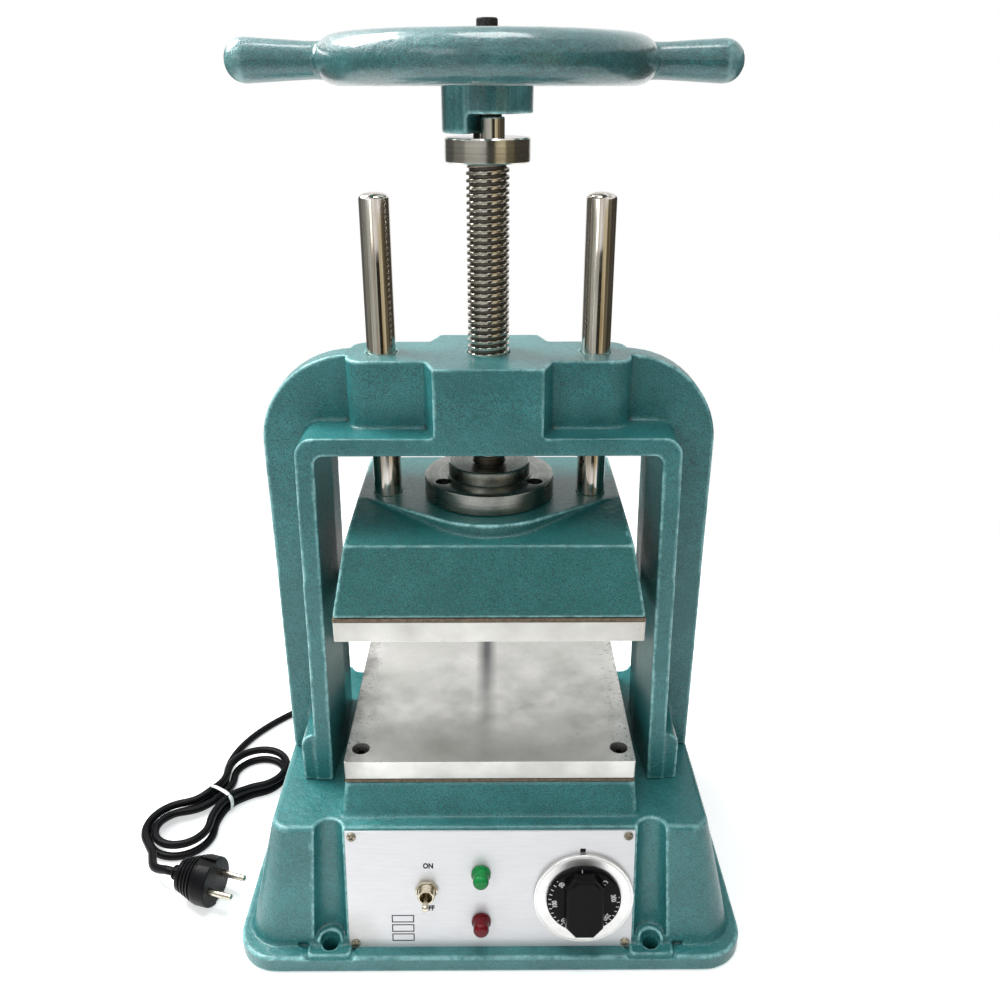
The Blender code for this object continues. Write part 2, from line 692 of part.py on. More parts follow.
def foot_block(side):
    inner = WINDOW_WAIST + WINDOW_MOUTH_DRAFT + WINDOW_FOOT_SPREAD + RIB_THICK / 2
    outer = WINDOW_WAIST + WINDOW_MOUTH_DRAFT + WINDOW_FOOT_SPREAD + FOOT_BLOCK_REACH
    top = TABLE_HEIGHT + FOOT_BLOCK_HEIGHT
    round_off = (outer - inner) * FOOT_BLOCK_ROUND_SHARE
    outline = [(inner, ARCH_FOOT), (outer, ARCH_FOOT)]
    outline += arc((outer - round_off, top - round_off), round_off, 0, math.pi / 2, 3)
    outline.append((inner, top))
    half_depth = ARCH_HALF_DEPTH_FOOT - FOOT_BLOCK_STEP
    return prism([(side * x, z) for x, z in outline], -half_depth, half_depth, "Y")


def taper_depth(shape):
    """Draw the casting in towards its top, as its pattern is drafted."""
    loss = 1 - ARCH_HALF_DEPTH_TOP / ARCH_HALF_DEPTH_FOOT
    for vertex in shape.data.vertices:
        share = (vertex.co.z - ARCH_FOOT) / (ARCH_HEIGHT - ARCH_FOOT)
        vertex.co.y *= 1 - loss * share
    return shape


def window_cutter():
    """The window, narrowest at the middle of the arch's depth, where the pattern parts."""
    reach = ARCH_HALF_DEPTH_FOOT + OVERRUN
    rings = []
    for depth, draft in ((-reach, 0), (0, -WINDOW_MOUTH_DRAFT), (reach, 0)):
        outline = window_outline(draft, ARCH_FOOT - OVERRUN, WINDOW_CORNER)
        rings.append([(x, depth, z) for x, z in outline])
    return loft(rings)


def arch_casting():
    arch = arch_web()
    rib = window_outline(RIB_THICK, ARCH_FOOT, RIB_CORNER)
    join(arch, prism(rib, -ARCH_HALF_DEPTH_FOOT, ARCH_HALF_DEPTH_FOOT, "Y"))
    join(arch, arch_bosses(), foot_block(-1), foot_block(1))
    taper_depth(arch)
    cut(arch, window_cutter())
    low, high = WINDOW_TOP - OVERRUN, ARCH_HEIGHT + OVERRUN
    cut(arch, cylinder(bore(SCREW_RADIUS, 32), low, high, 32))
    for side in (-1, 1):
        cut(arch, cylinder(bore(POST_RADIUS, 24), low, high, 24, (side * POST_X, 0)))
    for place in arch_bolt_places():
        depth = ARCH_FOOT + ARCH_BOLT_BITE + GAP
        cut(arch, cylinder(bore(ARCH_BOLT_RADIUS, 12), ARCH_FOOT - OVERRUN, depth, 12, place))
    return arch


def arch_bolt(place):
    """A hexagon bolt from inside the base up into one of the arch's feet."""
    seat = TABLE_HEIGHT - BASE_WALL - GAP
    head = cylinder(ARCH_BOLT_HEAD_RADIUS, seat - ARCH_BOLT_HEAD_HEIGHT, seat, 6, place)
    shank = cylinder(ARCH_BOLT_RADIUS, seat - OVERLAP, ARCH_FOOT + ARCH_BOLT_BITE, 12, place)
    return join(head, shank)


# Platens, each measured from the face of the casting that it is bolted to

def platen_bolt_places():
    return corners(PLATEN_HALF_X - PLATEN_BOLT_INSET_X, PLATEN_HALF_Y - PLATEN_BOLT_INSET_Y)


def front_bolt_places():
    return [place for place in platen_bolt_places() if place[1] < 0]


def rear_bolt_places():
    """The lower platen's rear pair, which comes up from inside the base."""
    x, y = PLATEN_HALF_X - REAR_BOLT_INSET_X, PLATEN_HALF_Y - REAR_BOLT_INSET_Y
    return [(-x, y), (x, y)]


def insulation_sheet(places):
    sheet = box((-PLATEN_HALF_X, -PLATEN_HALF_Y, GAP),
                (PLATEN_HALF_X, PLATEN_HALF_Y, GAP + INSULATION_THICK))
    for place in places:
        reach = GAP + INSULATION_THICK + OVERRUN
        cut(sheet, cylinder(bore(PLATEN_BOLT_SHANK_RADIUS, 10), -OVERRUN, reach, 10, place))
    return sheet


def heater():
    low = INSULATION_THICK + 2 * GAP
    return box((-HEATER_WIDTH / 2, -HEATER_DEPTH / 2, low),
               (HEATER_WIDTH / 2, HEATER_DEPTH / 2, low + HEATER_THICK))


def platen(sunk, from_below):
    """An aluminium plate with a pocket for its heater in its back and sunk bolt heads."""
    low = INSULATION_THICK + 2 * GAP
    high = low + PLATEN_THICK
    plate = box((-PLATEN_HALF_X, -PLATEN_HALF_Y, low), (PLATEN_HALF_X, PLATEN_HALF_Y, high))
    half_x, half_y = HEATER_WIDTH / 2 + GAP, HEATER_DEPTH / 2 + GAP
    cut(plate, box((-half_x, -half_y, low - OVERRUN), (half_x, half_y, low + HEATER_THICK + GAP)))
    head_seat = high - PLATEN_BOLT_SINK - PLATEN_BOLT_HEAD_HEIGHT
    for place in sunk:
        cut(plate, cylinder(bore(PLATEN_BOLT_SHANK_RADIUS, 10), low - OVERRUN, high, 10, place))
        wide = PLATEN_BOLT_HEAD_RADIUS + PLATEN_BOLT_CLEARANCE
        cut(plate, cylinder(wide, head_seat - GAP, high + OVERRUN, 16, place))
    for place in from_below:
        depth = low + REAR_BOLT_BITE + GAP
        cut(plate, cylinder(bore(PLATEN_BOLT_SHANK_RADIUS, 10), low - OVERRUN, depth, 10, place))
    return plate


def platen_bolt(place):
    top = INSULATION_THICK + 2 * GAP + PLATEN_THICK - PLATEN_BOLT_SINK
    seat = top - PLATEN_BOLT_HEAD_HEIGHT
    head = cylinder(PLATEN_BOLT_HEAD_RADIUS, seat, top, 16, place)
    return join(head, cylinder(PLATEN_BOLT_SHANK_RADIUS, -PLATEN_BOLT_BITE, seat + OVERLAP, 10, place))


def rear_bolt(place):
    """A screw from inside the base, through its top, up into the lower platen."""
    seat = -BASE_WALL - GAP
    head = cylinder(PLATEN_BOLT_HEAD_RADIUS, seat - REAR_BOLT_HEAD_HEIGHT, seat, 16, place)
    tip = INSULATION_THICK + 2 * GAP + REAR_BOLT_BITE
    return join(head, cylinder(PLATEN_BOLT_SHANK_RADIUS, seat - OVERLAP, tip, 10, place))


def lower_bulb_hole(shape):
    """The thermostat's bulb reaches up through the insulation into the lower platen."""
    top = INSULATION_THICK + 2 * GAP + BULB_DEPTH + GAP
    return cut(shape, cylinder(bore(CAPILLARY_RADIUS, 8), -OVERRUN, top, 8, (DIAL_X, BULB_Y)))


# Control panel, measured from the middle of the panel's back, Z out of the panel

def panel_matrix():
    middle = PANEL_FOOT_RISE + PANEL_HEIGHT / 2 * math.cos(FACE_TILT)
    return face_matrix(0, middle, -1) @ Matrix.Translation((0, 0, GAP))


def panel_screw_places():
    return corners(PANEL_WIDTH / 2 - PANEL_SCREW_INSET_X, PANEL_HEIGHT / 2 - PANEL_SCREW_INSET_Y)


def control_panel():
    plate = box((-PANEL_WIDTH / 2, -PANEL_HEIGHT / 2, 0), (PANEL_WIDTH / 2, PANEL_HEIGHT / 2, PANEL_THICK))
    for place in panel_screw_places():
        cut(plate, cylinder(bore(PANEL_SCREW_RADIUS, 8), -OVERRUN, PANEL_THICK + OVERRUN, 8, place))
    holes = [(TOGGLE_BUSHING_RADIUS, (TOGGLE_X, TOGGLE_Y)), (SHAFT_RADIUS, (DIAL_X, DIAL_Y)),
             (LAMP_NECK_RADIUS, (LAMP_X, LAMP_UPPER_Y)), (LAMP_NECK_RADIUS, (LAMP_X, LAMP_LOWER_Y))]
    for radius, place in holes:
        cut(plate, cylinder(bore(radius, 20), -OVERRUN, PANEL_THICK + OVERRUN, 20, place))
    return plate


def panel_screw(place):
    low = PANEL_THICK + GAP
    head = cylinder(PANEL_SCREW_HEAD_RADIUS, low, low + PANEL_SCREW_HEAD_HEIGHT, 12, place)
    shank = cylinder(PANEL_SCREW_RADIUS, GAP - PANEL_SCREW_LENGTH, low + GAP, 8, place)
    return join(head, shank)


def toggle_switch_body():
    top = PANEL_THICK + TOGGLE_BUSHING_LENGTH
    half_x, half_y = TOGGLE_BODY_WIDTH / 2, TOGGLE_BODY_HEIGHT / 2
    body = box((-half_x, -half_y, -GAP - TOGGLE_BODY_DEPTH), (half_x, half_y, -GAP))
    join(body, cylinder(TOGGLE_BUSHING_RADIUS, -OVERLAP, top, 20))
    cut(body, cylinder(TOGGLE_BORE_RADIUS, top - TOGGLE_BORE_DEPTH, top + OVERRUN, 16))
    return placed(body, Matrix.Translation((TOGGLE_X, TOGGLE_Y, 0)))


def toggle_nut():
    low = PANEL_THICK + GAP
    nut = cylinder(TOGGLE_NUT_RADIUS, low, low + TOGGLE_NUT_THICK, 6)
    cut(nut, cylinder(bore(TOGGLE_BUSHING_RADIUS, 20), low - OVERRUN, low + TOGGLE_NUT_THICK + OVERRUN, 20))
    return placed(nut, Matrix.Translation((TOGGLE_X, TOGGLE_Y, 0)))


def toggle_pivot_height():
    bore_floor = PANEL_THICK + TOGGLE_BUSHING_LENGTH - TOGGLE_BORE_DEPTH
    return bore_floor + GAP + TOGGLE_BALL_RADIUS


def toggle_lever():
    """The lever about its pivot: a ball in the bushing, then a bat that widens to its round tip."""
    ball, root, tip = TOGGLE_BALL_RADIUS, TOGGLE_LEVER_ROOT_RADIUS, TOGGLE_LEVER_TIP_RADIUS
    neck = math.acos(root / ball)
    profile = arc((0, 0), ball, -math.pi / 2 + math.asin(root / ball), neck, 5)
    straight = TOGGLE_LEVER_LENGTH - tip
    profile += arc((0, straight), tip, 0, math.acos(root / tip), 3)
    return revolve(profile, 12)


def lamp_body(height):
    profile = [(LAMP_BODY_RADIUS, -LAMP_BODY_LENGTH), (LAMP_BODY_RADIUS, -GAP),
               (LAMP_NECK_RADIUS, -GAP), (LAMP_NECK_RADIUS, PANEL_THICK)]
    return placed(revolve(profile, 16), Matrix.Translation((LAMP_X, height, 0)))


def lamp_lens(height):
    low = PANEL_THICK + GAP
    profile = [(LENS_RADIUS, low)]
    shoulder = (LENS_RADIUS - LENS_ROUNDING, low + LENS_LENGTH - LENS_ROUNDING)
    profile += arc(shoulder, LENS_ROUNDING, 0, math.pi / 2, 3)
    return placed(revolve(profile, 20), Matrix.Translation((LAMP_X, height, 0)))


def thermostat_body():
    half_x, half_y = THERMOSTAT_WIDTH / 2, THERMOSTAT_HEIGHT / 2
    body = box((-half_x, -half_y, -GAP - THERMOSTAT_DEPTH), (half_x, half_y, -GAP))
    cut(body, cylinder(bore(SHAFT_RADIUS, 12), -SHAFT_REACH - GAP, OVERRUN, 12))
    return placed(body, Matrix.Translation((DIAL_X, DIAL_Y, 0)))


def dial_height():
    """Height of the dial's underside above the panel's back."""
    return PANEL_THICK + GAP + BEZEL_THICK + DIAL_CLEARANCE


def dial_bezel():
    low = PANEL_THICK + GAP
    top = low + BEZEL_THICK
    outer, inner = BEZEL_RADIUS, BEZEL_BORE_RADIUS
    profile = [(inner, low), (outer, low), (outer, top), (outer - BEZEL_RIM_WIDTH / 2, top + BEZEL_RIM_RISE),
               (outer - BEZEL_RIM_WIDTH, top), (inner, top)]
    return placed(revolve(profile, 40, closed=True), Matrix.Translation((DIAL_X, DIAL_Y, 0)))


def thermostat_shaft():
    """Turns with the dial: from the thermostat's own bore up into the dial."""
    return cylinder(SHAFT_RADIUS, -dial_height() - SHAFT_REACH, DIAL_BORE_DEPTH - GAP, 12)


def thermostat_dial():
    """A round skirt with a flat-sided grip across it, measured from its underside."""
    skirt = revolve([
        (DIAL_SKIRT_RADIUS, 0),
        (DIAL_SKIRT_RADIUS, DIAL_SKIRT_THICK - DIAL_SKIRT_BEVEL),
        (DIAL_SKIRT_RADIUS - DIAL_SKIRT_BEVEL, DIAL_SKIRT_THICK),
    ], 40)
    wide, long = DIAL_GRIP_HALF_WIDTH, DIAL_GRIP_HALF_LENGTH
    top = DIAL_SKIRT_THICK + DIAL_GRIP_HEIGHT
    foot_level = DIAL_SKIRT_THICK - DIAL_SKIRT_BEVEL
    rings = []
    for level, draft in ((foot_level, 0), (top, DIAL_GRIP_DRAFT)):
        outline = rounded_rectangle(wide - draft, long - draft, DIAL_GRIP_DRAFT, 2)
        rings.append([(x, y, level) for x, y in outline])
    join(skirt, loft(rings))
    return cut(skirt, cylinder(bore(SHAFT_RADIUS, 12), -OVERRUN, DIAL_BORE_DEPTH, 12))


# Glands on the back of the base and of the head

def cord_gland_matrix():
    return face_matrix(CORD_GLAND_X, CORD_GLAND_HEIGHT, 1)


def lead_gland_matrix():
    return face_matrix(LEAD_GLAND_X, LEAD_GLAND_HEIGHT, 1)


def gland(nose_length, back_reach):
    """A gland through a wall: hexagon and tapered nose outside, threaded end inside."""
    body = cylinder(GLAND_HEX_RADIUS, GAP, GAP + GLAND_HEX_THICK, 6)
    join(body, cylinder(GLAND_THREAD_RADIUS, -back_reach, GAP + OVERLAP, 16))
    root = GAP + GLAND_HEX_THICK - OVERLAP
    profile = [(GLAND_NOSE_ROOT_RADIUS, root), (GLAND_NOSE_ROOT_RADIUS, root + OVERLAP),
               (GLAND_NOSE_TIP_RADIUS, root + OVERLAP + nose_length)]
    return join(body, revolve(profile, 16))


# Routes for tubes

def smooth_route(points, step):
    """Points at even steps along a Catmull-Rom curve through the given points, ends kept."""
    points = [Vector(point) for point in points]
    padded = [2 * points[0] - points[1]] + points + [2 * points[-1] - points[-2]]
    fine = []
    for before, start, end, after in zip(padded, padded[1:], padded[2:], padded[3:]):
        for index in range(FINE_STEPS):
            t = index / FINE_STEPS
            fine.append(0.5 * (2 * start + (end - before) * t
                               + (2 * before - 5 * start + 4 * end - after) * t ** 2
                               + (3 * start - before - 3 * end + after) * t ** 3))
    fine.append(points[-1])
    lengths = [0.0]
    for first, second in zip(fine, fine[1:]):
        lengths.append(lengths[-1] + (second - first).length)
    count = max(2, round(lengths[-1] / step))
    route, index = [], 0
    for number in range(count):
        target = lengths[-1] * number / count
        while lengths[index + 1] < target:
            index += 1
        share = (target - lengths[index]) / (lengths[index + 1] - lengths[index])
        route.append(fine[index].lerp(fine[index + 1], share))
    return route + [fine[-1]]


def tube(points, radius, resolution):
    """A round tube with closed ends along straight runs between the points."""
    curve = bpy.data.curves.new("tube", "CURVE")
    curve.dimensions = "3D"
    curve.twist_mode = "Z_UP"
    curve.bevel_depth = radius
    curve.bevel_resolution = resolution
    curve.use_fill_caps = True
    spline = curve.splines.new("POLY")
    spline.points.add(len(points) - 1)
    for target, point in zip(spline.points, points):
        target.co = (*point, 1)
    shape = bpy.data.objects.new("tube", curve)
    bpy.context.scene.collection.objects.link(shape)
    return shape


def route_length(points):
    return sum((Vector(b) - Vector(a)).length for a, b in zip(points, points[1:]))


def thermostat_capillary():
    """The sensing tube: back out of the thermostat, up through the block into the lower platen."""
    place = panel_matrix() @ Matrix.Translation((DIAL_X, DIAL_Y, -2 * GAP - THERMOSTAT_DEPTH))
    start = place.translation
    inward = -(place.to_3x3() @ Vector((0, 0, 1)))
    stub = start + inward * CAPILLARY_STUB
    top = Vector((DIAL_X, BULB_Y, LOWER_PLATEN_BOTTOM + BULB_DEPTH))
    rise = Vector((DIAL_X, BULB_Y, stub.z + (BULB_Y - stub.y)))
    turn = stub.lerp(rise, 0.5) + (inward - Vector((0, 0, 1))) * CAPILLARY_RADIUS
    bend = smooth_route([stub, turn, rise], CAPILLARY_STEP)
    return tube([start] + bend + [top], CAPILLARY_RADIUS, 1)


# Mains cord

def hank_arcs():
    """The loop's half reach, the radius of its hollow sides and the angle that each half side turns."""
    fold, waist = HANK_FOLD_RADIUS, HANK_WAIST_HALF
    reach = HANK_HALF_LENGTH - fold
    hollow = (reach ** 2 + waist ** 2 - fold ** 2) / (2 * (fold - waist))
    return reach, hollow, math.atan2(reach, waist + hollow)


def hank_curve(turn):
    """A point of the hank's inner loop, its outward direction and the loop's length, laid flat.

    The loop is two round folds joined by hollow arcs that draw it in at the waist. A turn
    starts at the waist's left side and runs anticlockwise.
    """
    fold, waist = HANK_FOLD_RADIUS, HANK_WAIST_HALF
    reach, hollow, lean = hank_arcs()
    quarter = hollow * lean
    sweep = math.pi / 2 + lean
    whole = 4 * (quarter + fold * sweep)
    along = (turn % 1) * whole
    mirror = 1
    if along > whole / 2:
        along -= whole / 2
        mirror = -1
    if along < quarter:
        angle = along / hollow
        point = (-hollow * math.sin(angle), waist + hollow - hollow * math.cos(angle))
        normal = (math.sin(angle), math.cos(angle))
    elif along < quarter + 2 * fold * sweep:
        angle = math.pi - sweep + (along - quarter) / fold
        point = (-reach + fold * math.cos(angle), fold * math.sin(angle))
        normal = (math.cos(angle), math.sin(angle))
    else:
        angle = (whole / 2 - along) / hollow
        point = (-hollow * math.sin(angle), -(waist + hollow - hollow * math.cos(angle)))
        normal = (math.sin(angle), -math.cos(angle))
    return Vector(point) * mirror, Vector(normal) * mirror, whole


def hank_ends():
    """The turns at which the hank starts, where its side meets the upper fold, and ends."""
    _, hollow, lean = hank_arcs()
    start = -hollow * lean / hank_curve(0)[2]
    return start, start + HANK_STRETCHES / HANK_POINTS_PER_LOOP


def hank_point(turn):
    """The cord's middle: it spirals in on the floor, climbs a layer and spirals out again."""
    middle = sum(hank_ends()) / 2
    inner, normal, _ = hank_curve(turn)
    waist = max(0.0, 1 - abs(inner.x) / HANK_FOLD_RADIUS)
    step = HANK_STEP + HANK_WAIST_SPREAD * waist
    flat = inner + normal * step * abs(turn - middle)
    climb = min(max((turn - middle) / HANK_CLIMB_SHARE + 0.5, 0.0), 1.0)
    climb = climb ** 2 * (3 - 2 * climb)
    lift = HANK_LIFT * waist ** 2 * (3 - 2 * waist)
    local = Vector((flat.x, flat.y, HANK_FLOOR + lift + HANK_CLIMB * climb))
    return HANK_CENTRE + Matrix.Rotation(HANK_AXIS, 3, "Z") @ local


def hank_route():
    """The hank's points, in step from turn to turn, with one straight diameter at each end."""
    start, end = hank_ends()
    turns = [start + number / HANK_POINTS_PER_LOOP for number in range(HANK_STRETCHES + 1)]
    points = [hank_point(turn) for turn in turns]
    nudge = (end - start) / HANK_STRETCHES / FINE_STEPS
    first = (points[0] - hank_point(start + nudge)).normalized()
    last = (points[-1] - hank_point(end - nudge)).normalized()
    return [points[0] + first * CORD_DIAMETER] + points + [points[-1] + last * CORD_DIAMETER]


def least_self_gap(points):
    """The least clear gap between stretches of one tube that aren't neighbours on it."""
    fine = []
    for first, second in zip(points, points[1:]):
        fine += [first.lerp(second, step / FINE_STEPS) for step in range(FINE_STEPS)]
    spacing = route_length(points) / len(fine)
    apart = math.ceil(3 * CORD_DIAMETER / spacing)
    least = min((a - b).length for index, a in enumerate(fine) for b in fine[index + apart:])
    return least - CORD_DIAMETER


def lead_points():
    """From the gland's nose to the hank's first end, straight for a diameter at both ends."""
    nose = cord_gland_matrix() @ Vector((0, 0, 2 * GAP + GLAND_HEX_THICK + GLAND_NOSE_LENGTH))
    out = cord_gland_matrix().to_3x3() @ Vector((0, 0, 1))
    hank = hank_route()
    along = (hank[1] - hank[0]).normalized()
    end = hank[0] - along * GAP
    middle = [nose + out * CORD_DIAMETER] + LEAD_ROUTE + [end - along * CORD_DIAMETER]
    return [nose] + smooth_route(middle, CORD_STEP) + [end]


def tail_points():
    hank = hank_route()
    along = (hank[-1] - hank[-2]).normalized()
    start = hank[-1] + along * GAP
    back = plug_matrix() @ Vector((-PLUG_LENGTH - PLUG_BOSS_LENGTH - GAP, 0, 0))
    into = plug_matrix().to_3x3() @ Vector((1, 0, 0))
    middle = [start + along * CORD_DIAMETER] + TAIL_ROUTE + [back - into * CORD_DIAMETER]
    return [start] + smooth_route(middle, CORD_STEP) + [back]


def cord_tie():
    """A twist tie round the waist of the hank, as a flat band that clears the strands."""
    turn = Matrix.Rotation(-HANK_AXIS, 3, "Z")
    route = hank_route()
    inside = []
    for first, second in zip(route, route[1:]):
        for step in range(FINE_STEPS):
            local = turn @ (first.lerp(second, step / FINE_STEPS) - HANK_CENTRE)
            if abs(local.x) < TIE_WIDTH:
                inside.append(local)
    reach = CORD_RADIUS + TIE_CLEARANCE
    low_y, high_y = (pick(point.y for point in inside) for pick in (min, max))
    low_z, high_z = (pick(point.z for point in inside) for pick in (min, max))
    half = ((high_y - low_y) / 2 + reach, (high_z - low_z) / 2 + reach)
    middle = ((high_y + low_y) / 2, (high_z + low_z) / 2)
    rings = []
    for side, thick in ((-1, 0), (-1, TIE_THICK), (1, TIE_THICK), (1, 0)):
        outline = rounded_rectangle(half[0] + thick, half[1] + thick, reach + thick, 3)
        rings.append([(side * TIE_WIDTH / 2, middle[0] + y, middle[1] + z) for y, z in outline])
    band = loft(rings, closed=True)
    return placed(band, Matrix.Translation(HANK_CENTRE) @ Matrix.Rotation(HANK_AXIS, 4, "Z"))


def plug_matrix():
    """The plug lies on its rim, its pins along local X."""
    lift = PLUG_FACE + Vector((0, 0, PLUG_RADIUS))
    return Matrix.Translation(lift) @ Matrix.Rotation(PLUG_TURN, 4, "Z")


def mains_plug():
    """A round-faced two-pin plug: a disc, a tapered back and the boss that the cord enters."""
    body = revolve([
        (PLUG_BOSS_RADIUS, -PLUG_LENGTH - PLUG_BOSS_LENGTH),
        (PLUG_BOSS_RADIUS, -PLUG_LENGTH),
        (PLUG_BACK_RADIUS, -PLUG_LENGTH),
        (PLUG_RADIUS, -PLUG_FACE_THICK),
        (PLUG_RADIUS, 0),
    ], 24)
    reach = PLUG_RADIUS + OVERRUN
    for side in (-1, 1):
        inner = side * (PLUG_RADIUS - PLUG_NOTCH_DEPTH)
        cut(body, box((min(inner, side * reach), -PLUG_NOTCH_HALF_WIDTH, -PLUG_LENGTH / 2),
                      (max(inner, side * reach), PLUG_NOTCH_HALF_WIDTH, OVERRUN)))
    for side in (-1, 1):
        hole = cylinder(bore(PIN_RADIUS, 12), -PIN_SEAT - GAP, OVERRUN, 12, (0, side * PIN_SPACING / 2))
        cut(body, hole)
    return placed(body, plug_matrix() @ Matrix.Rotation(math.pi / 2, 4, "Y"))


def plug_pin(side):
    profile = [(PIN_RADIUS, -PIN_SEAT), (PIN_RADIUS, PIN_LENGTH - PIN_TIP_BEVEL),
               (PIN_RADIUS - PIN_TIP_BEVEL, PIN_LENGTH)]
    pin = placed(revolve(profile, 12), Matrix.Translation((0, side * PIN_SPACING / 2, 0)))
    return placed(pin, plug_matrix() @ Matrix.Rotation(math.pi / 2, 4, "Y"))


# Head, measured from the casting's underside

def bearing_floor():
    return HEAD_HEIGHT - COLLAR_SPIGOT_DEPTH - SCREW_FOOT_THICK - BEARING_THICK - 2 * GAP


def collar_bolt_places():
    return circle(COLLAR_BOLT_CIRCLE, COLLAR_BOLTS, turn=COLLAR_BOLT_START)


def head_gland_matrix():
    """The middle of the head's back face, which leans in towards its top."""
    lean = math.atan2(HEAD_TOP_INSET_Y, HEAD_HEIGHT)
    y = PLATEN_HALF_Y - HEAD_GLAND_RISE * math.tan(lean)
    up = Vector((0, -math.sin(lean), math.cos(lean)))
    out = Vector((0, math.cos(lean), math.sin(lean)))
    turn = Matrix((up.cross(out), up, out)).transposed().to_4x4()
    return Matrix.Translation((LEAD_GLAND_X - GLAND_HEX_RADIUS * 2, y, HEAD_GLAND_RISE)) @ turn


def head_casting():
    """A drafted block with a sloping front, and a boss that carries the collar and the posts."""
    fold_x, fold_y = PLATEN_HALF_X - HEAD_FOLD_INSET_X, PLATEN_HALF_Y - HEAD_FOLD_INSET_Y
    top_x, top_y = PLATEN_HALF_X - HEAD_TOP_INSET_X, PLATEN_HALF_Y - HEAD_TOP_INSET_Y
    points = [(x, y, 0) for x, y in corners(PLATEN_HALF_X, PLATEN_HALF_Y)]
    for side in (-1, 1):
        points += [(side * fold_x, -fold_y, HEAD_FOLD_RISE), (side * top_x, -HEAD_TOP_FRONT, HEAD_HEIGHT),
                   (side * top_x, top_y, HEAD_HEIGHT)]
    head = hull(points)
    outline = circle(HEAD_PLATEAU_RADIUS, 32)
    for side in (-1, 1):
        outline += circle(HEAD_EAR_RADIUS, 20, (side * POST_X, 0))
    low = HEAD_HEIGHT - HEAD_PLATEAU_DEPTH
    join(head, hull([(x, y, z) for x, y in outline for z in (low, HEAD_HEIGHT)]))
    top = HEAD_HEIGHT + OVERRUN
    cut(head, cylinder(bore(COLLAR_SPIGOT_RADIUS, 32), bearing_floor(), top, 32))
    for side in (-1, 1):
        low = HEAD_HEIGHT - POST_SOCKET_DEPTH - GAP
        cut(head, cylinder(bore(POST_RADIUS, 24), low, top, 24, (side * POST_X, 0)))
    for place in collar_bolt_places():
        low = HEAD_HEIGHT - COLLAR_BOLT_BITE - GAP
        cut(head, cylinder(bore(COLLAR_BOLT_RADIUS, 10), low, top, 10, place))
    for place in platen_bolt_places():
        high = PLATEN_BOLT_BITE + GAP
        cut(head, cylinder(bore(PLATEN_BOLT_SHANK_RADIUS, 10), -OVERRUN, high, 10, place))
    hole = cylinder(bore(GLAND_THREAD_RADIUS, 16), -BASE_WALL - GLAND_BACK_REACH - GAP, OVERRUN, 16)
    return cut(head, placed(hole, head_gland_matrix()))


def guide_post(side):
    top = HEAD_HEIGHT + POST_TOP_RISE
    profile = [(POST_RADIUS, HEAD_HEIGHT - POST_SOCKET_DEPTH)]
    profile += arc((POST_RADIUS - POST_DOME, top - POST_DOME), POST_DOME, 0, math.pi / 2, 3)
    return placed(revolve(profile, 24), Matrix.Translation((side * POST_X, 0, 0)))


def thrust_bearing():
    low = bearing_floor() + GAP
    profile = [(BEARING_BORE_RADIUS, low), (BEARING_RADIUS, low),
               (BEARING_RADIUS, low + BEARING_THICK), (BEARING_BORE_RADIUS, low + BEARING_THICK)]
    return revolve(profile, 24, closed=True)


def thrust_collar():
    """The flange that holds the screw's foot down in the head."""
    seat = HEAD_HEIGHT + GAP
    hole = bore(SCREW_NECK_RADIUS, 32)
    collar = revolve([
        (hole, seat - COLLAR_SPIGOT_DEPTH), (COLLAR_SPIGOT_RADIUS, seat - COLLAR_SPIGOT_DEPTH),
        (COLLAR_SPIGOT_RADIUS, seat), (COLLAR_RADIUS, seat), (COLLAR_RADIUS, seat + COLLAR_THICK),
        (COLLAR_HUB_RADIUS, seat + COLLAR_THICK), (COLLAR_HUB_RADIUS, COLLAR_HUB_TOP),
        (hole, COLLAR_HUB_TOP),
    ], 48, closed=True)
    head_seat = seat + COLLAR_THICK - COLLAR_BOLT_SINK - COLLAR_BOLT_HEAD_HEIGHT
    for place in collar_bolt_places():
        top = seat + COLLAR_THICK + OVERRUN
        cut(collar, cylinder(bore(COLLAR_BOLT_RADIUS, 10), seat - OVERRUN, top, 10, place))
        cut(collar, cylinder(bore(COLLAR_BOLT_HEAD_RADIUS, 16), head_seat - GAP, top, 16, place))
    return collar


def thrust_collar_screw(place):
    top = HEAD_HEIGHT + GAP + COLLAR_THICK - COLLAR_BOLT_SINK
    seat = top - COLLAR_BOLT_HEAD_HEIGHT
    head = cylinder(COLLAR_BOLT_HEAD_RADIUS, seat, top, 16, place)
    low = HEAD_HEIGHT - COLLAR_BOLT_BITE
    return join(head, cylinder(COLLAR_BOLT_RADIUS, low, seat + OVERLAP, 10, place))


# Press screw and what turns with it, measured like the head

def thread(low, high):
    """A right-hand thread: a crest helix and a root helix, skinned and closed at both ends."""
    sides = SCREW_SIDES
    steps = int((high - low) / SCREW_PITCH * sides - sides / 2)
    bm = bmesh.new()
    helices = []
    for radius, offset in ((SCREW_RADIUS, 0), (SCREW_ROOT_RADIUS, SCREW_PITCH / 2)):
        helix = []
        for step in range(steps + 1):
            angle = math.tau * step / sides
            height = low + offset + SCREW_PITCH * step / sides
            helix.append(bm.verts.new((radius * math.cos(angle), radius * math.sin(angle), height)))
        helices.append(helix)
    crest, root = helices
    for step in range(steps):
        bm.faces.new((crest[step], crest[step + 1], root[step + 1], root[step]))
    for step in range(steps - sides):
        above = step + sides
        bm.faces.new((root[step], root[step + 1], crest[above + 1], crest[above]))
    rims = [crest[:sides + 1] + [root[0]], root[steps - sides:] + [crest[steps]]]
    for rim in rims:
        middle = sum((vertex.co.z for vertex in rim)) / len(rim)
        hub = bm.verts.new((0, 0, middle))
        for first, second in zip(rim, rim[1:] + rim[:1]):
            bm.faces.new((first, second, hub))
    return solid(bm)


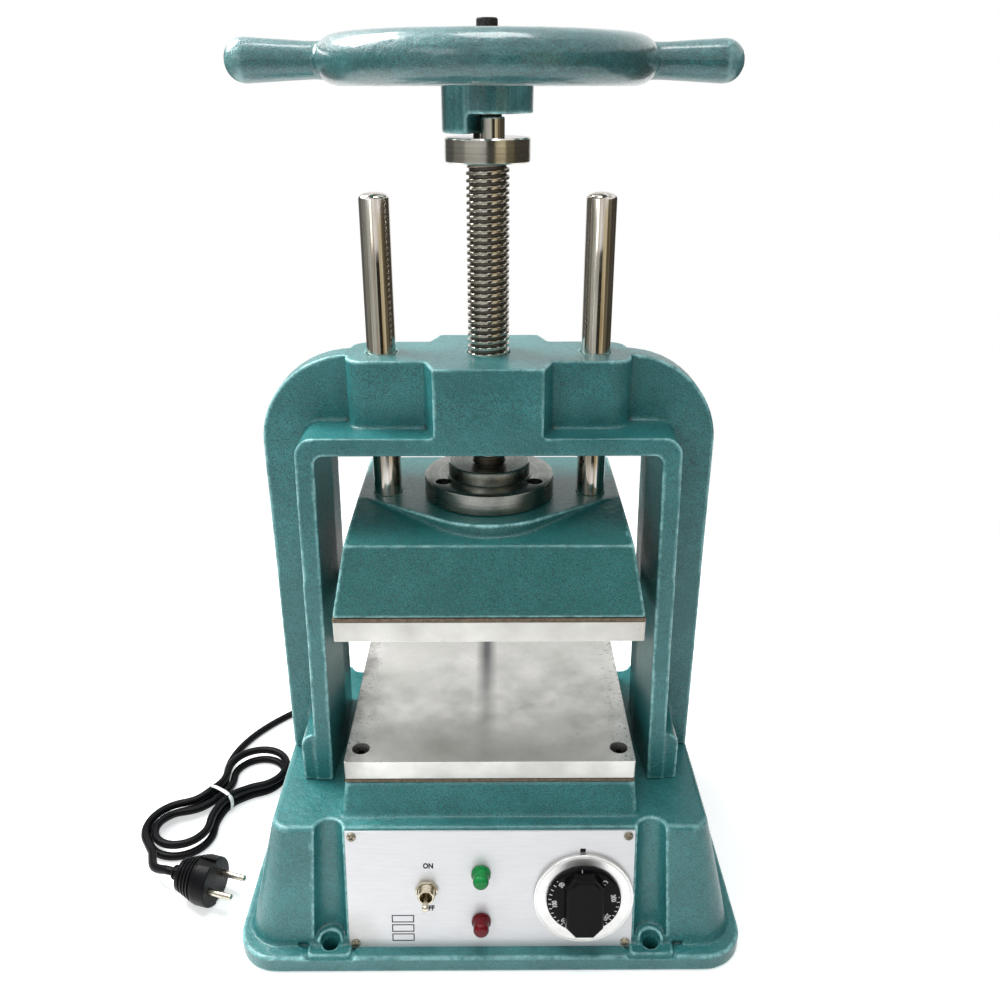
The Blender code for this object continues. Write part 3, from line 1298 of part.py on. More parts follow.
def press_screw():
    foot = bearing_floor() + BEARING_THICK + 2 * GAP
    shoulder = DRIVE_COLLAR_BOTTOM - GAP
    body = revolve([
        (SCREW_FOOT_RADIUS, foot), (SCREW_FOOT_RADIUS, foot + SCREW_FOOT_THICK),
        (SCREW_NECK_RADIUS, foot + SCREW_FOOT_THICK), (SCREW_NECK_RADIUS, shoulder),
        (SPIGOT_RADIUS, shoulder), (SPIGOT_RADIUS, SPIGOT_TOP),
    ], 24)
    join(body, thread(COLLAR_HUB_TOP + SCREW_THREAD_START, shoulder))
    hole = cylinder(bore(WHEEL_BOLT_RADIUS, 12), SPIGOT_TOP - WHEEL_BOLT_BITE - GAP,
                    SPIGOT_TOP + OVERRUN, 12)
    return cut(body, hole)


def drive_pin_place():
    return (DRIVE_PIN_CIRCLE * math.cos(DRIVE_PIN_AZIMUTH), DRIVE_PIN_CIRCLE * math.sin(DRIVE_PIN_AZIMUTH))


def drive_collar():
    inner = bore(SPIGOT_RADIUS, 36)
    low, high = DRIVE_COLLAR_BOTTOM, DRIVE_COLLAR_TOP
    profile = [(inner, low), (DRIVE_COLLAR_RADIUS, low), (DRIVE_COLLAR_RADIUS, high), (inner, high)]
    collar = revolve(profile, 36, closed=True)
    seat = high - DRIVE_PIN_SEAT - GAP
    return cut(collar, cylinder(bore(DRIVE_PIN_RADIUS, 20), seat, high + OVERRUN, 20, drive_pin_place()))


def drive_pin():
    low, high = DRIVE_COLLAR_TOP - DRIVE_PIN_SEAT, DRIVE_COLLAR_TOP + DRIVE_PIN_HEIGHT
    return cylinder(DRIVE_PIN_RADIUS, low, high, 20, drive_pin_place())


def wheel_bolt():
    """A bolt with a wide flange that holds the wheel down on the screw."""
    low = SPIGOT_TOP + GAP
    seat = low + WASHER_THICK
    head = revolve([
        (WHEEL_BOLT_RADIUS, SPIGOT_TOP - WHEEL_BOLT_BITE), (WHEEL_BOLT_RADIUS, low),
        (WASHER_RADIUS, low), (WASHER_RADIUS, seat),
        (WHEEL_BOLT_HEAD_RADIUS, seat), (WHEEL_BOLT_HEAD_RADIUS, seat + WHEEL_BOLT_HEAD_HEIGHT),
    ], 20)
    return head


# Handwheel, measured from the middle of its rim

def squircle(half_width, half_height, points, power):
    """A closed section between an ellipse and a rectangle."""
    outline = []
    for index in range(points):
        angle = math.tau * index / points
        outline.append(tuple(math.copysign(half * abs(value) ** (2 / power), value) for half, value in
                             ((half_width, math.cos(angle)), (half_height, math.sin(angle)))))
    return outline


def wheel_rim():
    section = squircle(WHEEL_RIM_HALF_WIDTH, WHEEL_RIM_HALF_HEIGHT, 10, WHEEL_RIM_POWER)
    return revolve([(WHEEL_RIM_RADIUS + x, z) for x, z in section], 40, closed=True)


def wheel_hub():
    """The hub, cut back from below so that a quarter of it stays as the dog."""
    low = WHEEL_DOG_CLEARANCE - WHEEL_RIM_LIFT
    face = WHEEL_HUB_LIFT - WHEEL_RIM_LIFT
    inner = bore(SPIGOT_RADIUS, 36)
    profile = [(inner, low), (WHEEL_HUB_RADIUS, low), (WHEEL_HUB_RADIUS, WHEEL_HUB_TOP_RISE),
               (inner, WHEEL_HUB_TOP_RISE)]
    hub = revolve(profile, 36, closed=True)
    wide = WHEEL_HUB_RADIUS + OVERRUN
    opening = arc((0, 0), wide, WHEEL_DOG_END - WHEEL_TURN, WHEEL_DOG_START - WHEEL_TURN + math.tau, 16)
    return cut(hub, prism([(0, 0)] + opening, low - OVERRUN, face))


def wheel_spoke(number):
    rings = []
    for x in (WHEEL_HUB_RADIUS - OVERLAP, WHEEL_RIM_RADIUS):
        section = squircle(WHEEL_SPOKE_HALF_WIDTH, WHEEL_SPOKE_HALF_HEIGHT, 10, 2)
        rings.append([(x, y, z) for y, z in section])
    return placed(loft(rings), Matrix.Rotation(math.tau * number / WHEEL_SPOKES, 4, "Z"))


def wheel_handle(side):
    """A grip cast on the rim, wider towards its round end."""
    round_off = HANDLE_TIP_ROUNDING
    profile = [(HANDLE_ROOT_RADIUS, WHEEL_RIM_RADIUS)]
    profile += arc((HANDLE_TIP_RADIUS - round_off, HANDLE_REACH - round_off), round_off, 0, math.pi / 2, 4)
    return placed(revolve(profile, 20), Matrix.Rotation(side * math.pi / 2, 4, "Y"))


def handwheel():
    wheel = wheel_rim()
    join(wheel, wheel_hub(), wheel_handle(-1), wheel_handle(1))
    for number in range(WHEEL_SPOKES):
        join(wheel, wheel_spoke(number))
    return wheel


# Assembly

def clear_scene():
    for old in list(bpy.data.objects):
        bpy.data.objects.remove(old)


def build_platen(name, carrier, sunk, from_below=()):
    """A platen with its insulation, its heater and its four bolts, on one face of a casting."""
    sheet, plate = insulation_sheet([*sunk, *from_below]), platen(sunk, from_below)
    if from_below:
        lower_bulb_hole(sheet)
        lower_bulb_hole(plate)
    piece(name + "_insulation", sheet, INSULATION, carrier)
    piece(name + "_heater", heater(), MICA, carrier)
    piece(name + "_platen", plate, ALUMINIUM, carrier)
    bolts = [platen_bolt(place) for place in sunk] + [rear_bolt(place) for place in from_below]
    for number, bolt in enumerate(bolts, start=1):
        piece("%s_platen_bolt_%d" % (name, number), bolt, BLACK_OXIDE, carrier)


def build_base():
    base = axes("base_axes", Matrix())
    piece("base_casting", base_casting(), PAINT, base)
    piece("bottom_cover", bottom_cover(), DARK_STEEL, base)
    piece("arch_casting", arch_casting(), PAINT, base)
    for side, place in zip(("left", "right"), arch_bolt_places()):
        piece("arch_bolt_" + side, arch_bolt(place), DARK_STEEL, base)
    piece("thermostat_capillary", thermostat_capillary(), COPPER, base)
    block = axes("block_axes", Matrix.Translation((0, 0, BLOCK_TOP)), base)
    build_platen("lower", block, front_bolt_places(), rear_bolt_places())
    reach = BASE_WALL + GLAND_BACK_REACH
    gland_axes = axes("cord_gland_axes", cord_gland_matrix(), base)
    piece("cord_gland", gland(GLAND_NOSE_LENGTH, reach), BLACK_PLASTIC, gland_axes)
    lead_axes = axes("lead_gland_axes", lead_gland_matrix(), base)
    piece("base_lead_gland", gland(LEAD_GLAND_NOSE, reach), BLACK_PLASTIC, lead_axes)


def build_controls():
    panel = axes("panel_axes", panel_matrix())
    piece("control_panel", control_panel(), SILVER_PANEL, panel)
    for number, place in enumerate(panel_screw_places(), start=1):
        piece("panel_screw_%d" % number, panel_screw(place), STEEL, panel)
    piece("toggle_switch_body", toggle_switch_body(), NICKEL, panel)
    piece("toggle_nut", toggle_nut(), NICKEL, panel)
    piece("power_lamp_body", lamp_body(LAMP_UPPER_Y), BLACK_PLASTIC, panel)
    piece("power_lamp_lens", lamp_lens(LAMP_UPPER_Y), GREEN_LENS, panel)
    piece("heat_lamp_body", lamp_body(LAMP_LOWER_Y), BLACK_PLASTIC, panel)
    piece("heat_lamp_lens", lamp_lens(LAMP_LOWER_Y), RED_LENS, panel)
    piece("thermostat_body", thermostat_body(), STEEL, panel)
    piece("dial_bezel", dial_bezel(), ALUMINIUM, panel)
    pivot = Matrix.Translation((TOGGLE_X, TOGGLE_Y, toggle_pivot_height()))
    lever_axes = axes("toggle_pivot", pivot @ Matrix.Rotation(TOGGLE_THROW, 4, "X"), panel)
    piece("toggle_lever", toggle_lever(), NICKEL, lever_axes)
    dial_axes = axes("dial_spindle", Matrix.Translation((DIAL_X, DIAL_Y, dial_height())), panel)
    piece("thermostat_dial", thermostat_dial(), BLACK_PLASTIC, dial_axes)
    piece("thermostat_shaft", thermostat_shaft(), STEEL, dial_axes)


def build_head():
    head = axes("head_axes", Matrix.Translation((0, 0, HEAD_BOTTOM)))
    piece("head_casting", head_casting(), PAINT, head)
    piece("guide_post_left", guide_post(-1), CHROME, head)
    piece("guide_post_right", guide_post(1), CHROME, head)
    piece("thrust_bearing", thrust_bearing(), STEEL, head)
    piece("thrust_collar", thrust_collar(), STEEL, head)
    for number, place in enumerate(collar_bolt_places(), start=1):
        piece("thrust_collar_screw_%d" % number, thrust_collar_screw(place), BLACK_OXIDE, head)
    gland_axes = axes("head_gland_axes", head_gland_matrix(), head)
    reach = BASE_WALL + GLAND_BACK_REACH
    piece("head_lead_gland", gland(LEAD_GLAND_NOSE, reach), BLACK_PLASTIC, gland_axes)
    underside = axes("head_underside", Matrix.Rotation(math.pi, 4, "X"), head)
    build_platen("upper", underside, platen_bolt_places())
    screw = axes("screw_axes", Matrix(), head)
    piece("press_screw", press_screw(), STEEL, screw)
    piece("drive_collar", drive_collar(), STEEL, screw)
    piece("drive_pin", drive_pin(), CHROME, screw)
    piece("wheel_bolt", wheel_bolt(), BLACK_OXIDE, screw)
    turn = Matrix.Translation((0, 0, WHEEL_MIDDLE)) @ Matrix.Rotation(WHEEL_TURN, 4, "Z")
    piece("handwheel", handwheel(), PAINT, axes("wheel_axes", turn, screw))


def build_cord():
    floor = axes("cord_axes", Matrix())
    hank = hank_route()
    piece("cord_lead", tube(lead_points(), CORD_RADIUS, 2), CORD_BLACK, floor)
    piece("cord_hank", tube(hank, CORD_RADIUS, 1), CORD_BLACK, floor)
    piece("cord_tail", tube(tail_points(), CORD_RADIUS, 2), CORD_BLACK, floor)
    piece("cord_tie", cord_tie(), WHITE_PLASTIC, floor)
    piece("mains_plug", mains_plug(), CORD_BLACK, floor)
    piece("plug_pin_near", plug_pin(-1), NICKEL, floor)
    piece("plug_pin_far", plug_pin(1), NICKEL, floor)
    lengths = [route_length(points) for points in (lead_points(), hank, tail_points())]
    print("cord lengths: lead %.4f, hank %.4f, tail %.4f" % tuple(lengths), "whole %.4f" % sum(lengths))
    print("hank's least gap to itself: %.5f" % least_self_gap(hank))


clear_scene()
build_base()
build_controls()
build_head()
build_cord()
bpy.context.view_layer.update()
for joint_axes in ("toggle_pivot", "dial_spindle", "wheel_axes"):
    place = bpy.data.objects[joint_axes].matrix_world.translation
    print(joint_axes, "at", [round(value, 5) for value in place])
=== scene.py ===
"""Bench press with two heated platens, dressed for its portrait."""

import math

import bmesh
import bpy
from mathutils import Matrix, Vector
from mathutils import noise as turbulence


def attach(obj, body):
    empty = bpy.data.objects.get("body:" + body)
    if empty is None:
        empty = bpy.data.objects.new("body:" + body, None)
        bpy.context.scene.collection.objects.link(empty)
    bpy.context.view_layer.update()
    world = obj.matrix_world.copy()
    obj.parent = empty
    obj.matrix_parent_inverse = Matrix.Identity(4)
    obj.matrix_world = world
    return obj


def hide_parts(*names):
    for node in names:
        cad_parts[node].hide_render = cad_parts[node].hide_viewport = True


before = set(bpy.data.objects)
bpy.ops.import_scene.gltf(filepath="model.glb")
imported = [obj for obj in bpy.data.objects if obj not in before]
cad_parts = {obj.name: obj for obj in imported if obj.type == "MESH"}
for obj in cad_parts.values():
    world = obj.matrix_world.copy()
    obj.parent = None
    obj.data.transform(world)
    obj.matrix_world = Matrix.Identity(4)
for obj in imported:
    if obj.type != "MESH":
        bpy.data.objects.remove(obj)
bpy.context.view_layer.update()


# The room: a white floor that runs on without an edge, three soft lamps, and boards of grey, tan
# and near black that stand round the press where only its paint and its metal mirror them.

LIT_POINT = Vector((0, 0, 0.28))
FLOOR_REACH = 6
SHADOW_START, SHADOW_END = 0.45, 0.95
DARK_HALF = (0.128, 0.121, 9)
stage = bpy.context.scene
stage.view_settings.view_transform = "Standard"


def placed(name, data):
    """An object at the world's origin, in the scene."""
    made = bpy.data.objects.new(name, data)
    stage.collection.objects.link(made)
    return made


camera = placed("camera", bpy.data.cameras.new("camera"))
camera.location = (0.0038, -0.60036, 0.56557)
camera.rotation_euler = (math.radians(66.51), 0, math.radians(-0.34))
camera.data.lens = 34.14
camera.data.sensor_width = 36
stage.camera = camera


def new_node(tree, kind, links=None, **settings):
    """Add a node; links gives values, or other nodes' sockets, for its inputs."""
    made = tree.nodes.new(kind)
    for setting, value in settings.items():
        setattr(made, setting, value)
    for name, value in (links or {}).items():
        if isinstance(value, bpy.types.NodeSocket):
            tree.links.new(value, made.inputs[name])
        else:
            made.inputs[name].default_value = value
    return made


def number_of(tree, operation, *values):
    """What a Math node makes of numbers or sockets."""
    return new_node(tree, "ShaderNodeMath", dict(enumerate(values)), operation=operation).outputs[0]


def vector_of(tree, operation, *values):
    """What a Vector Math node makes of vectors: another vector, or a length."""
    made = new_node(tree, "ShaderNodeVectorMath", dict(enumerate(values)), operation=operation)
    return made.outputs["Value" if operation == "LENGTH" else "Vector"]


def shader_of(tree, kind, links):
    """The shader that a node puts out."""
    return new_node(tree, "ShaderNode" + kind, links).outputs[0]


def seen_directly(tree):
    """1 for rays from the camera, a mirror or through glass, 0 for light on a matt surface."""
    rays = new_node(tree, "ShaderNodeLightPath").outputs
    both = number_of(tree, "MAXIMUM", rays["Is Camera Ray"], rays["Is Glossy Ray"])
    return number_of(tree, "MAXIMUM", both, rays["Is Transmission Ray"])


def bare_material(name):
    """A material with nothing on its surface yet, its nodes and its surface's socket."""
    made = bpy.data.materials.new(name)
    made.use_nodes = True
    made.node_tree.nodes.remove(made.node_tree.nodes["Principled BSDF"])
    return made, made.node_tree, made.node_tree.nodes["Material Output"].inputs["Surface"]


def sheet(name, corners, material):
    """One flat face of the room."""
    mesh = bpy.data.meshes.new(name)
    mesh.from_pydata(corners, [], [(0, 1, 2, 3)])
    mesh.materials.append(material)
    made = placed(name, mesh)
    return made


sky = bpy.data.worlds.new("white_room")
sky.use_nodes = True
stage.world = sky
tree = sky.node_tree
around = tree.nodes["Background"]
around.inputs["Color"].default_value = (0.93, 0.97, 1.0, 1)
around.inputs["Strength"].default_value = 0.32
white = shader_of(tree, "Background", {"Color": (1, 1, 1, 1), "Strength": 1.0})
chosen = shader_of(tree, "MixShader", {0: seen_directly(tree), 1: around.outputs[0], 2: white})
tree.links.new(chosen, tree.nodes["World Output"].inputs["Surface"])

paper, tree, surface = bare_material("white_paper")
matt = shader_of(tree, "BsdfDiffuse", {"Color": (0.90, 0.90, 0.90, 1)})
glow = shader_of(tree, "Emission", {"Color": (1, 1, 1, 1), "Strength": 0.55})
lift = shader_of(tree, "AddShader", {0: matt, 1: glow})
bare = shader_of(tree, "Emission", {"Color": (1, 1, 1, 1), "Strength": 1.0})
place = new_node(tree, "ShaderNodeNewGeometry").outputs["Position"]
far = new_node(tree, "ShaderNodeMapRange",
               {0: vector_of(tree, "LENGTH", place), 1: SHADOW_START, 2: SHADOW_END},
               interpolation_type="SMOOTHSTEP").outputs[0]
lift = shader_of(tree, "MixShader", {0: far, 1: lift, 2: bare})
chosen = shader_of(tree, "MixShader", {0: seen_directly(tree), 1: matt, 2: lift})
# Under the base the paper is painted near black as shade, so that the bolt holes look deep.
across = vector_of(tree, "SUBTRACT", vector_of(tree, "ABSOLUTE", place), DARK_HALF)
across = new_node(tree, "ShaderNodeSeparateXYZ", {0: across}).outputs
under = number_of(tree, "LESS_THAN", number_of(tree, "MAXIMUM", across["X"], across["Y"]), 0)
under_base_shade = shader_of(tree, "BsdfDiffuse", {"Color": (0.004, 0.004, 0.004, 1)})
tree.links.new(shader_of(tree, "MixShader", {0: under, 1: chosen, 2: under_base_shade}), surface)
sheet("white_floor", [(x * FLOOR_REACH, y * FLOOR_REACH, 0)
                      for x, y in ((-1, -1), (1, -1), (1, 1), (-1, 1))], paper)

# Each board: name, from angle, to angle (0 is the front, 90 the right), distance, top, colour.
BOARDS = (
    ("far_left_board", -150, -100, 1.1, 0.80, (0.12, 0.12, 0.11)),
    ("left_board", -100, -62, 1.1, 0.80, (0.24, 0.24, 0.21)),
    ("left_front_board", -62, -32, 1.1, 0.80, (0.46, 0.46, 0.42)),
    ("front_left_board", -32, -3, 1.2, 0.70, (0.50, 0.50, 0.46)),
    ("front_board", -3, 21, 1.2, 0.70, (0.030, 0.030, 0.022)),
    ("front_right_board", 21, 48, 1.2, 0.80, (0.62, 0.54, 0.36)),
    ("right_board", 48, 74, 1.1, 0.80, (0.16, 0.135, 0.085)),
    ("far_right_board", 74, 150, 1.1, 0.80, (0.07, 0.063, 0.05)),
    ("back_board", 160, 200, 0.32, 0.26, (0.004, 0.005, 0.005)),
    ("low_board", 137, 223, 0.191, 0.17, (0.004, 0.005, 0.005)),
)
for name, start, end, reach, top, tint in BOARDS:
    feet = [(reach * math.sin(math.radians(angle)), -reach * math.cos(math.radians(angle)))
            for angle in (start, end)]
    board_paint, tree, surface = bare_material(name)
    tree.links.new(shader_of(tree, "Emission", {"Color": (*tint, 1), "Strength": 1.0}), surface)
    board = sheet(name, [(*feet[0], 0), (*feet[1], 0), (*feet[1], top), (*feet[0], top)],
                  board_paint)
    board.visible_camera = board.visible_diffuse = board.visible_shadow = False

for name, place, size, power in (("high_lamp", (-0.85, 0.35, 1.35), 0.70, 25.0),
                                 ("sky_lamp", (0.05, -0.10, 1.75), 0.55, 9.0),
                                 ("front_lamp", (-0.85, -1.25, 0.80), 0.80, 4.0)):
    lamp = bpy.data.lights.new(name, "AREA")
    lamp.shape, lamp.size, lamp.energy = "SQUARE", size, power
    hung = placed(name, lamp)
    hung.location = place
    hung.rotation_euler = (LIT_POINT - Vector(place)).to_track_quat("-Z", "Y").to_euler()


# The mains cord: a round rubber lead of 1.13 m that drops from its gland to the floor and is wound
# into a hank, loops drawn in at the waist, one layer on the other, with the plug lying beside it.

FLOOR_RIM = 0.0115
TABLE_TOP = 0.1052
TABLE_HALF = (0.1497, 0.0990)
BODY_DRAFT = (0.0215, 0.0142)
CORD_THICK = 0.0065
CORD_NOSE = 0.0326
HANK_MIDDLE = Vector((-0.2300, 0.0430, 0))
HANK_LEAN = math.radians(57)
FOLD_RADIUS = 0.020
FOLD_REACH = 0.0425
WAIST_HALF = 0.0040
WAIST_SPREAD = 0.0006
STRAND_STEP = 0.0074
LOOPS = 56 / 24
LOOP_STEPS = 96
CURVE_STEPS = 8
REST_HEIGHT = 0.0033
CROSSING_LIFT = 0.0013
LAYER_LIFT = 0.0081
STRAIGHT_RUN = 2 * CORD_THICK + 0.0003
PLUG_TURN = math.radians(-17)
PLUG_PLACE = Matrix.Translation((-0.2060, -0.0605, 0.0185)) @ Matrix.Rotation(PLUG_TURN, 4, "Z")
PLUG_BACK = -0.0363


def body_half(height):
    """Half the width and half the depth of the base's drafted body at a height."""
    share = (TABLE_TOP - height) / (TABLE_TOP - FLOOR_RIM)
    return TABLE_HALF[0] + BODY_DRAFT[0] * share, TABLE_HALF[1] + BODY_DRAFT[1] * share


def tilted_place(point, side, tilt):
    """A place on a leaning front or back: local Z points out of it, local Y up it."""
    up = Vector((0, -side * math.sin(tilt), math.cos(tilt)))
    out = Vector((0, side * math.cos(tilt), math.sin(tilt)))
    turned = Matrix((up.cross(out), up, out)).transposed().to_4x4()
    return Matrix.Translation(point) @ turned


def face_place(x, height, side):
    """A place on the base's drafted front or back."""
    return tilted_place((x, side * body_half(height)[1], height), side,
                        math.atan2(BODY_DRAFT[1], TABLE_TOP - FLOOR_RIM))


CORD_GLAND = face_place(-0.085, 0.050, 1)


def loop_shape():
    """The radius of a loop's hollow sides, the angle half a side turns, and the loop's length."""
    hollow = ((FOLD_REACH ** 2 + WAIST_HALF ** 2 - FOLD_RADIUS ** 2)
              / (2 * (FOLD_RADIUS - WAIST_HALF)))
    lean = math.atan2(FOLD_REACH, WAIST_HALF + hollow)
    return hollow, lean, 4 * (hollow * lean + FOLD_RADIUS * (math.pi / 2 + lean))


def loop_point(turn):
    """A point of the innermost loop and the way out of it, from the waist round anticlockwise."""
    hollow, lean, whole = loop_shape()
    quarter, sweep = hollow * lean, math.pi / 2 + lean
    along, mirror = (turn % 1) * whole, 1
    if along > whole / 2:
        along, mirror = along - whole / 2, -1
    if along < quarter or along > whole / 2 - quarter:
        upper = 1 if along < quarter else -1
        angle = (along if upper > 0 else whole / 2 - along) / hollow
        point = (-hollow * math.sin(angle),
                 upper * (WAIST_HALF + hollow - hollow * math.cos(angle)))
        way = (math.sin(angle), upper * math.cos(angle))
    else:
        angle = math.pi - sweep + (along - quarter) / FOLD_RADIUS
        way = (math.cos(angle), math.sin(angle))
        point = (FOLD_RADIUS * way[0] - FOLD_REACH, FOLD_RADIUS * way[1])
    return Vector(point) * mirror, Vector(way) * mirror


def strand_point(turn):
    """The cord's middle in the hank: it winds in on the floor, climbs a layer and winds out."""
    hollow, lean, whole = loop_shape()
    middle = LOOPS / 2 - hollow * lean / whole
    point, way = loop_point(turn)
    waist = max(0.0, 1 - abs(point.x) / FOLD_RADIUS)
    flat = point + way * (STRAND_STEP + WAIST_SPREAD * waist) * abs(turn - middle)
    climb = min(max(2 * (turn - middle) + 0.5, 0.0), 1.0)
    height = (REST_HEIGHT + CROSSING_LIFT * waist ** 2 * (3 - 2 * waist)
              + LAYER_LIFT * climb ** 2 * (3 - 2 * climb))
    return HANK_MIDDLE + Matrix.Rotation(HANK_LEAN, 3, "Z") @ Vector((flat.x, flat.y, height))


def curve_through(points):
    """A Catmull-Rom curve through the points."""
    points = [Vector(point) for point in points]
    padded = [2 * points[0] - points[1]] + points + [2 * points[-1] - points[-2]]
    fine = []
    for a, b, c, d in zip(padded, padded[1:], padded[2:], padded[3:]):
        for step in range(CURVE_STEPS):
            t = step / CURVE_STEPS
            fine.append(0.5 * (2 * b + (c - a) * t + (2 * a - 5 * b + 4 * c - d) * t ** 2
                               + (3 * b - a - 3 * c + d) * t ** 3))
    return fine + [points[-1]]


def cord_route():
    """Gland, floor, hank and plug, on one smooth line."""
    hollow, lean, whole = loop_shape()
    start = -hollow * lean / whole
    steps = round(LOOPS * LOOP_STEPS)
    hank = [strand_point(start + number / LOOP_STEPS) for number in range(steps + 1)]
    nose, out = CORD_GLAND @ Vector((0, 0, CORD_NOSE)), CORD_GLAND.to_3x3() @ Vector((0, 0, 1))
    into = (hank[0] - hank[1]).normalized()
    leaving = (hank[-1] - hank[-2]).normalized()
    back = PLUG_PLACE @ Vector((PLUG_BACK, 0, 0))
    along = PLUG_PLACE.to_3x3() @ Vector((1, 0, 0))
    lead = curve_through([
        nose, nose + out * CORD_THICK,
        (-0.0855, 0.1720, 0.0525), (-0.0885, 0.1890, 0.0450), (-0.0945, 0.2030, 0.0320),
        (-0.1035, 0.2120, 0.0180), (-0.1180, 0.2150, 0.0076), (-0.1360, 0.2110, 0.0038),
        (-0.1560, 0.2000, 0.0034), (-0.1770, 0.1845, 0.0034), (-0.1960, 0.1680, 0.0034),
        (-0.2120, 0.1510, 0.0034), (-0.2240, 0.1340, 0.0034), (-0.2320, 0.1170, 0.0034),
        (-0.2362, 0.1010, 0.0034), hank[0] + into * STRAIGHT_RUN,
    ])
    tail = curve_through([
        hank[-1] + leaving * STRAIGHT_RUN, (-0.2600, -0.0400, 0.0140),
        back - along * CORD_THICK, back,
    ])
    return lead + hank + tail


route = cord_route()
cord_line = bpy.data.curves.new("mains_cord", "CURVE")
cord_line.dimensions = "3D"
cord_line.twist_mode = "Z_UP"
cord_line.bevel_depth = CORD_THICK / 2
cord_line.bevel_resolution = 6
cord_line.use_fill_caps = True
strand = cord_line.splines.new("POLY")
strand.points.add(len(route) - 1)
for target, point in zip(strand.points, route):
    target.co = (*point, 1)
strand.use_smooth = True
cord = placed("mains_cord", cord_line)


def new_effect(name, inputs, outputs):
    """An empty node group with named sockets, what it is given and the node for its results."""
    tree = bpy.data.node_groups.new(name, "ShaderNodeTree")
    for label, value in inputs.items():
        kind = "NodeSocketFloat" if isinstance(value, (int, float)) else "NodeSocketColor"
        socket = tree.interface.new_socket(label, in_out="INPUT", socket_type=kind)
        socket.default_value = value
    for label, kind in outputs.items():
        tree.interface.new_socket(label, in_out="OUTPUT", socket_type="NodeSocket" + kind)
    return tree, tree.nodes.new("NodeGroupInput").outputs, tree.nodes.new("NodeGroupOutput")


def feed(tree, node, **sockets):
    """Link sockets to a node's inputs by their names."""
    for name, socket in sockets.items():
        tree.links.new(socket, node.inputs[name.replace("_", " ")])


def mixed(tree, share, first, second):
    """The colour that a Mix node gives of two colours."""
    return new_node(tree, "ShaderNodeMix", {0: share, 6: first, 7: second},
                    data_type="RGBA").outputs[2]


def ranged(tree, value, low, high, to_low=0.0, to_high=1.0):
    """A value mapped from one range to another, held at its ends."""
    return new_node(tree, "ShaderNodeMapRange",
                    {0: value, 1: low, 2: high, 3: to_low, 4: to_high}).outputs[0]


def own_metres(tree):
    """A point's place on the object, in metres."""
    return new_node(tree, "ShaderNodeTexCoord").outputs["Object"]


def noise(tree, scale, detail=2.0, roughness=0.5, vector=None):
    """A noise over the object's own metres, or over another vector."""
    links = {"Scale": scale, "Detail": detail, "Roughness": roughness,
             "Vector": vector or own_metres(tree)}
    return new_node(tree, "ShaderNodeTexNoise", links).outputs["Fac"]


def new_material(name, colour, roughness, metallic=0.0, **more):
    """A material with a Principled shader; more names its other plain sockets."""
    made = bpy.data.materials.new(name)
    made.use_nodes = True
    shader = made.node_tree.nodes["Principled BSDF"]
    shader.inputs["Base Color"].default_value = (*colour, 1)
    shader.inputs["Roughness"].default_value = roughness
    shader.inputs["Metallic"].default_value = metallic
    for socket, value in more.items():
        shader.inputs[socket.replace("_", " ")].default_value = value
    return made, made.node_tree, shader


def add_effect(tree, effect, **links):
    """Place a node group in a material, with values or sockets for its inputs."""
    placed_effect = new_node(tree, "ShaderNodeGroup", node_tree=effect)
    for name, value in links.items():
        if isinstance(value, bpy.types.NodeSocket):
            tree.links.new(value, placed_effect.inputs[name])
        else:
            placed_effect.inputs[name].default_value = value
    return placed_effect.outputs


def add_bump(tree, shader, height, depth, strength=1.0):
    """Feed a height of 0 to 1, as deep as given in metres, into the shader's normal."""
    bump = new_node(tree, "ShaderNodeBump",
                    {"Height": height, "Distance": depth, "Strength": strength})
    feed(tree, shader, Normal=bump.outputs[0])


MOULDED_ROUGHNESS = (0.30, 0.48)
moulded, given, result = new_effect(
    "moulded_skin",
    {"Colour": (0.02, 0.02, 0.02, 1), "Dust": (0.10, 0.10, 0.10, 1), "Scale": 300.0},
    {"Colour": "Color", "Roughness": "Float", "Height": "Float"})
wide = noise(moulded, 45, 3, 0.6)
dusty = ranged(moulded, wide, 0.45, 0.80, 0, 0.30)
feed(moulded, result, Colour=mixed(moulded, dusty, given["Colour"], given["Dust"]),
     Roughness=ranged(moulded, wide, 0.3, 0.7, *MOULDED_ROUGHNESS),
     Height=noise(moulded, given["Scale"], 3, 0.6))


def moulding(name, colour, dust, scale, depth=None, strength=1.0, polish=None, **more):
    """Moulded rubber or plastic, paler where dust holds; polish is a glossier roughness range."""
    made, tree, shader = new_material(name, colour, MOULDED_ROUGHNESS[0], 0, **more)
    skin_of = add_effect(tree, moulded, Colour=(*colour, 1), Dust=(*dust, 1), Scale=scale)
    roughness = skin_of["Roughness"]
    if polish:
        roughness = ranged(tree, roughness, *MOULDED_ROUGHNESS, *polish)
    feed(tree, shader, Base_Color=skin_of["Colour"], Roughness=roughness)
    if depth:
        add_bump(tree, shader, skin_of["Height"], depth, strength)
    return made


cord_line.materials.append(
    moulding("cord_rubber", (0.003, 0.003, 0.004), (0.008, 0.008, 0.009), 900.0, 0.00015, 0.5,
             Specular_IOR_Level=0.12))
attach(cord, "base")
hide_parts("cord_lead", "cord_hank", "cord_tail")


# The plug at the cord's end: a moulded rubber body with a round face, finger grooves round its
# taper and a sleeve for the cord, on two nickel-plated pins.

PIN_SPREAD = 0.0095
LYING = Matrix.Rotation(math.pi / 2, 4, "Y")


def as_object(name, bm):
    """A mesh object of what was built, with its faces turned outwards."""
    bmesh.ops.recalc_face_normals(bm, faces=bm.faces)
    mesh = bpy.data.meshes.new(name)
    bm.to_mesh(mesh)
    bm.free()
    return placed(name, mesh)


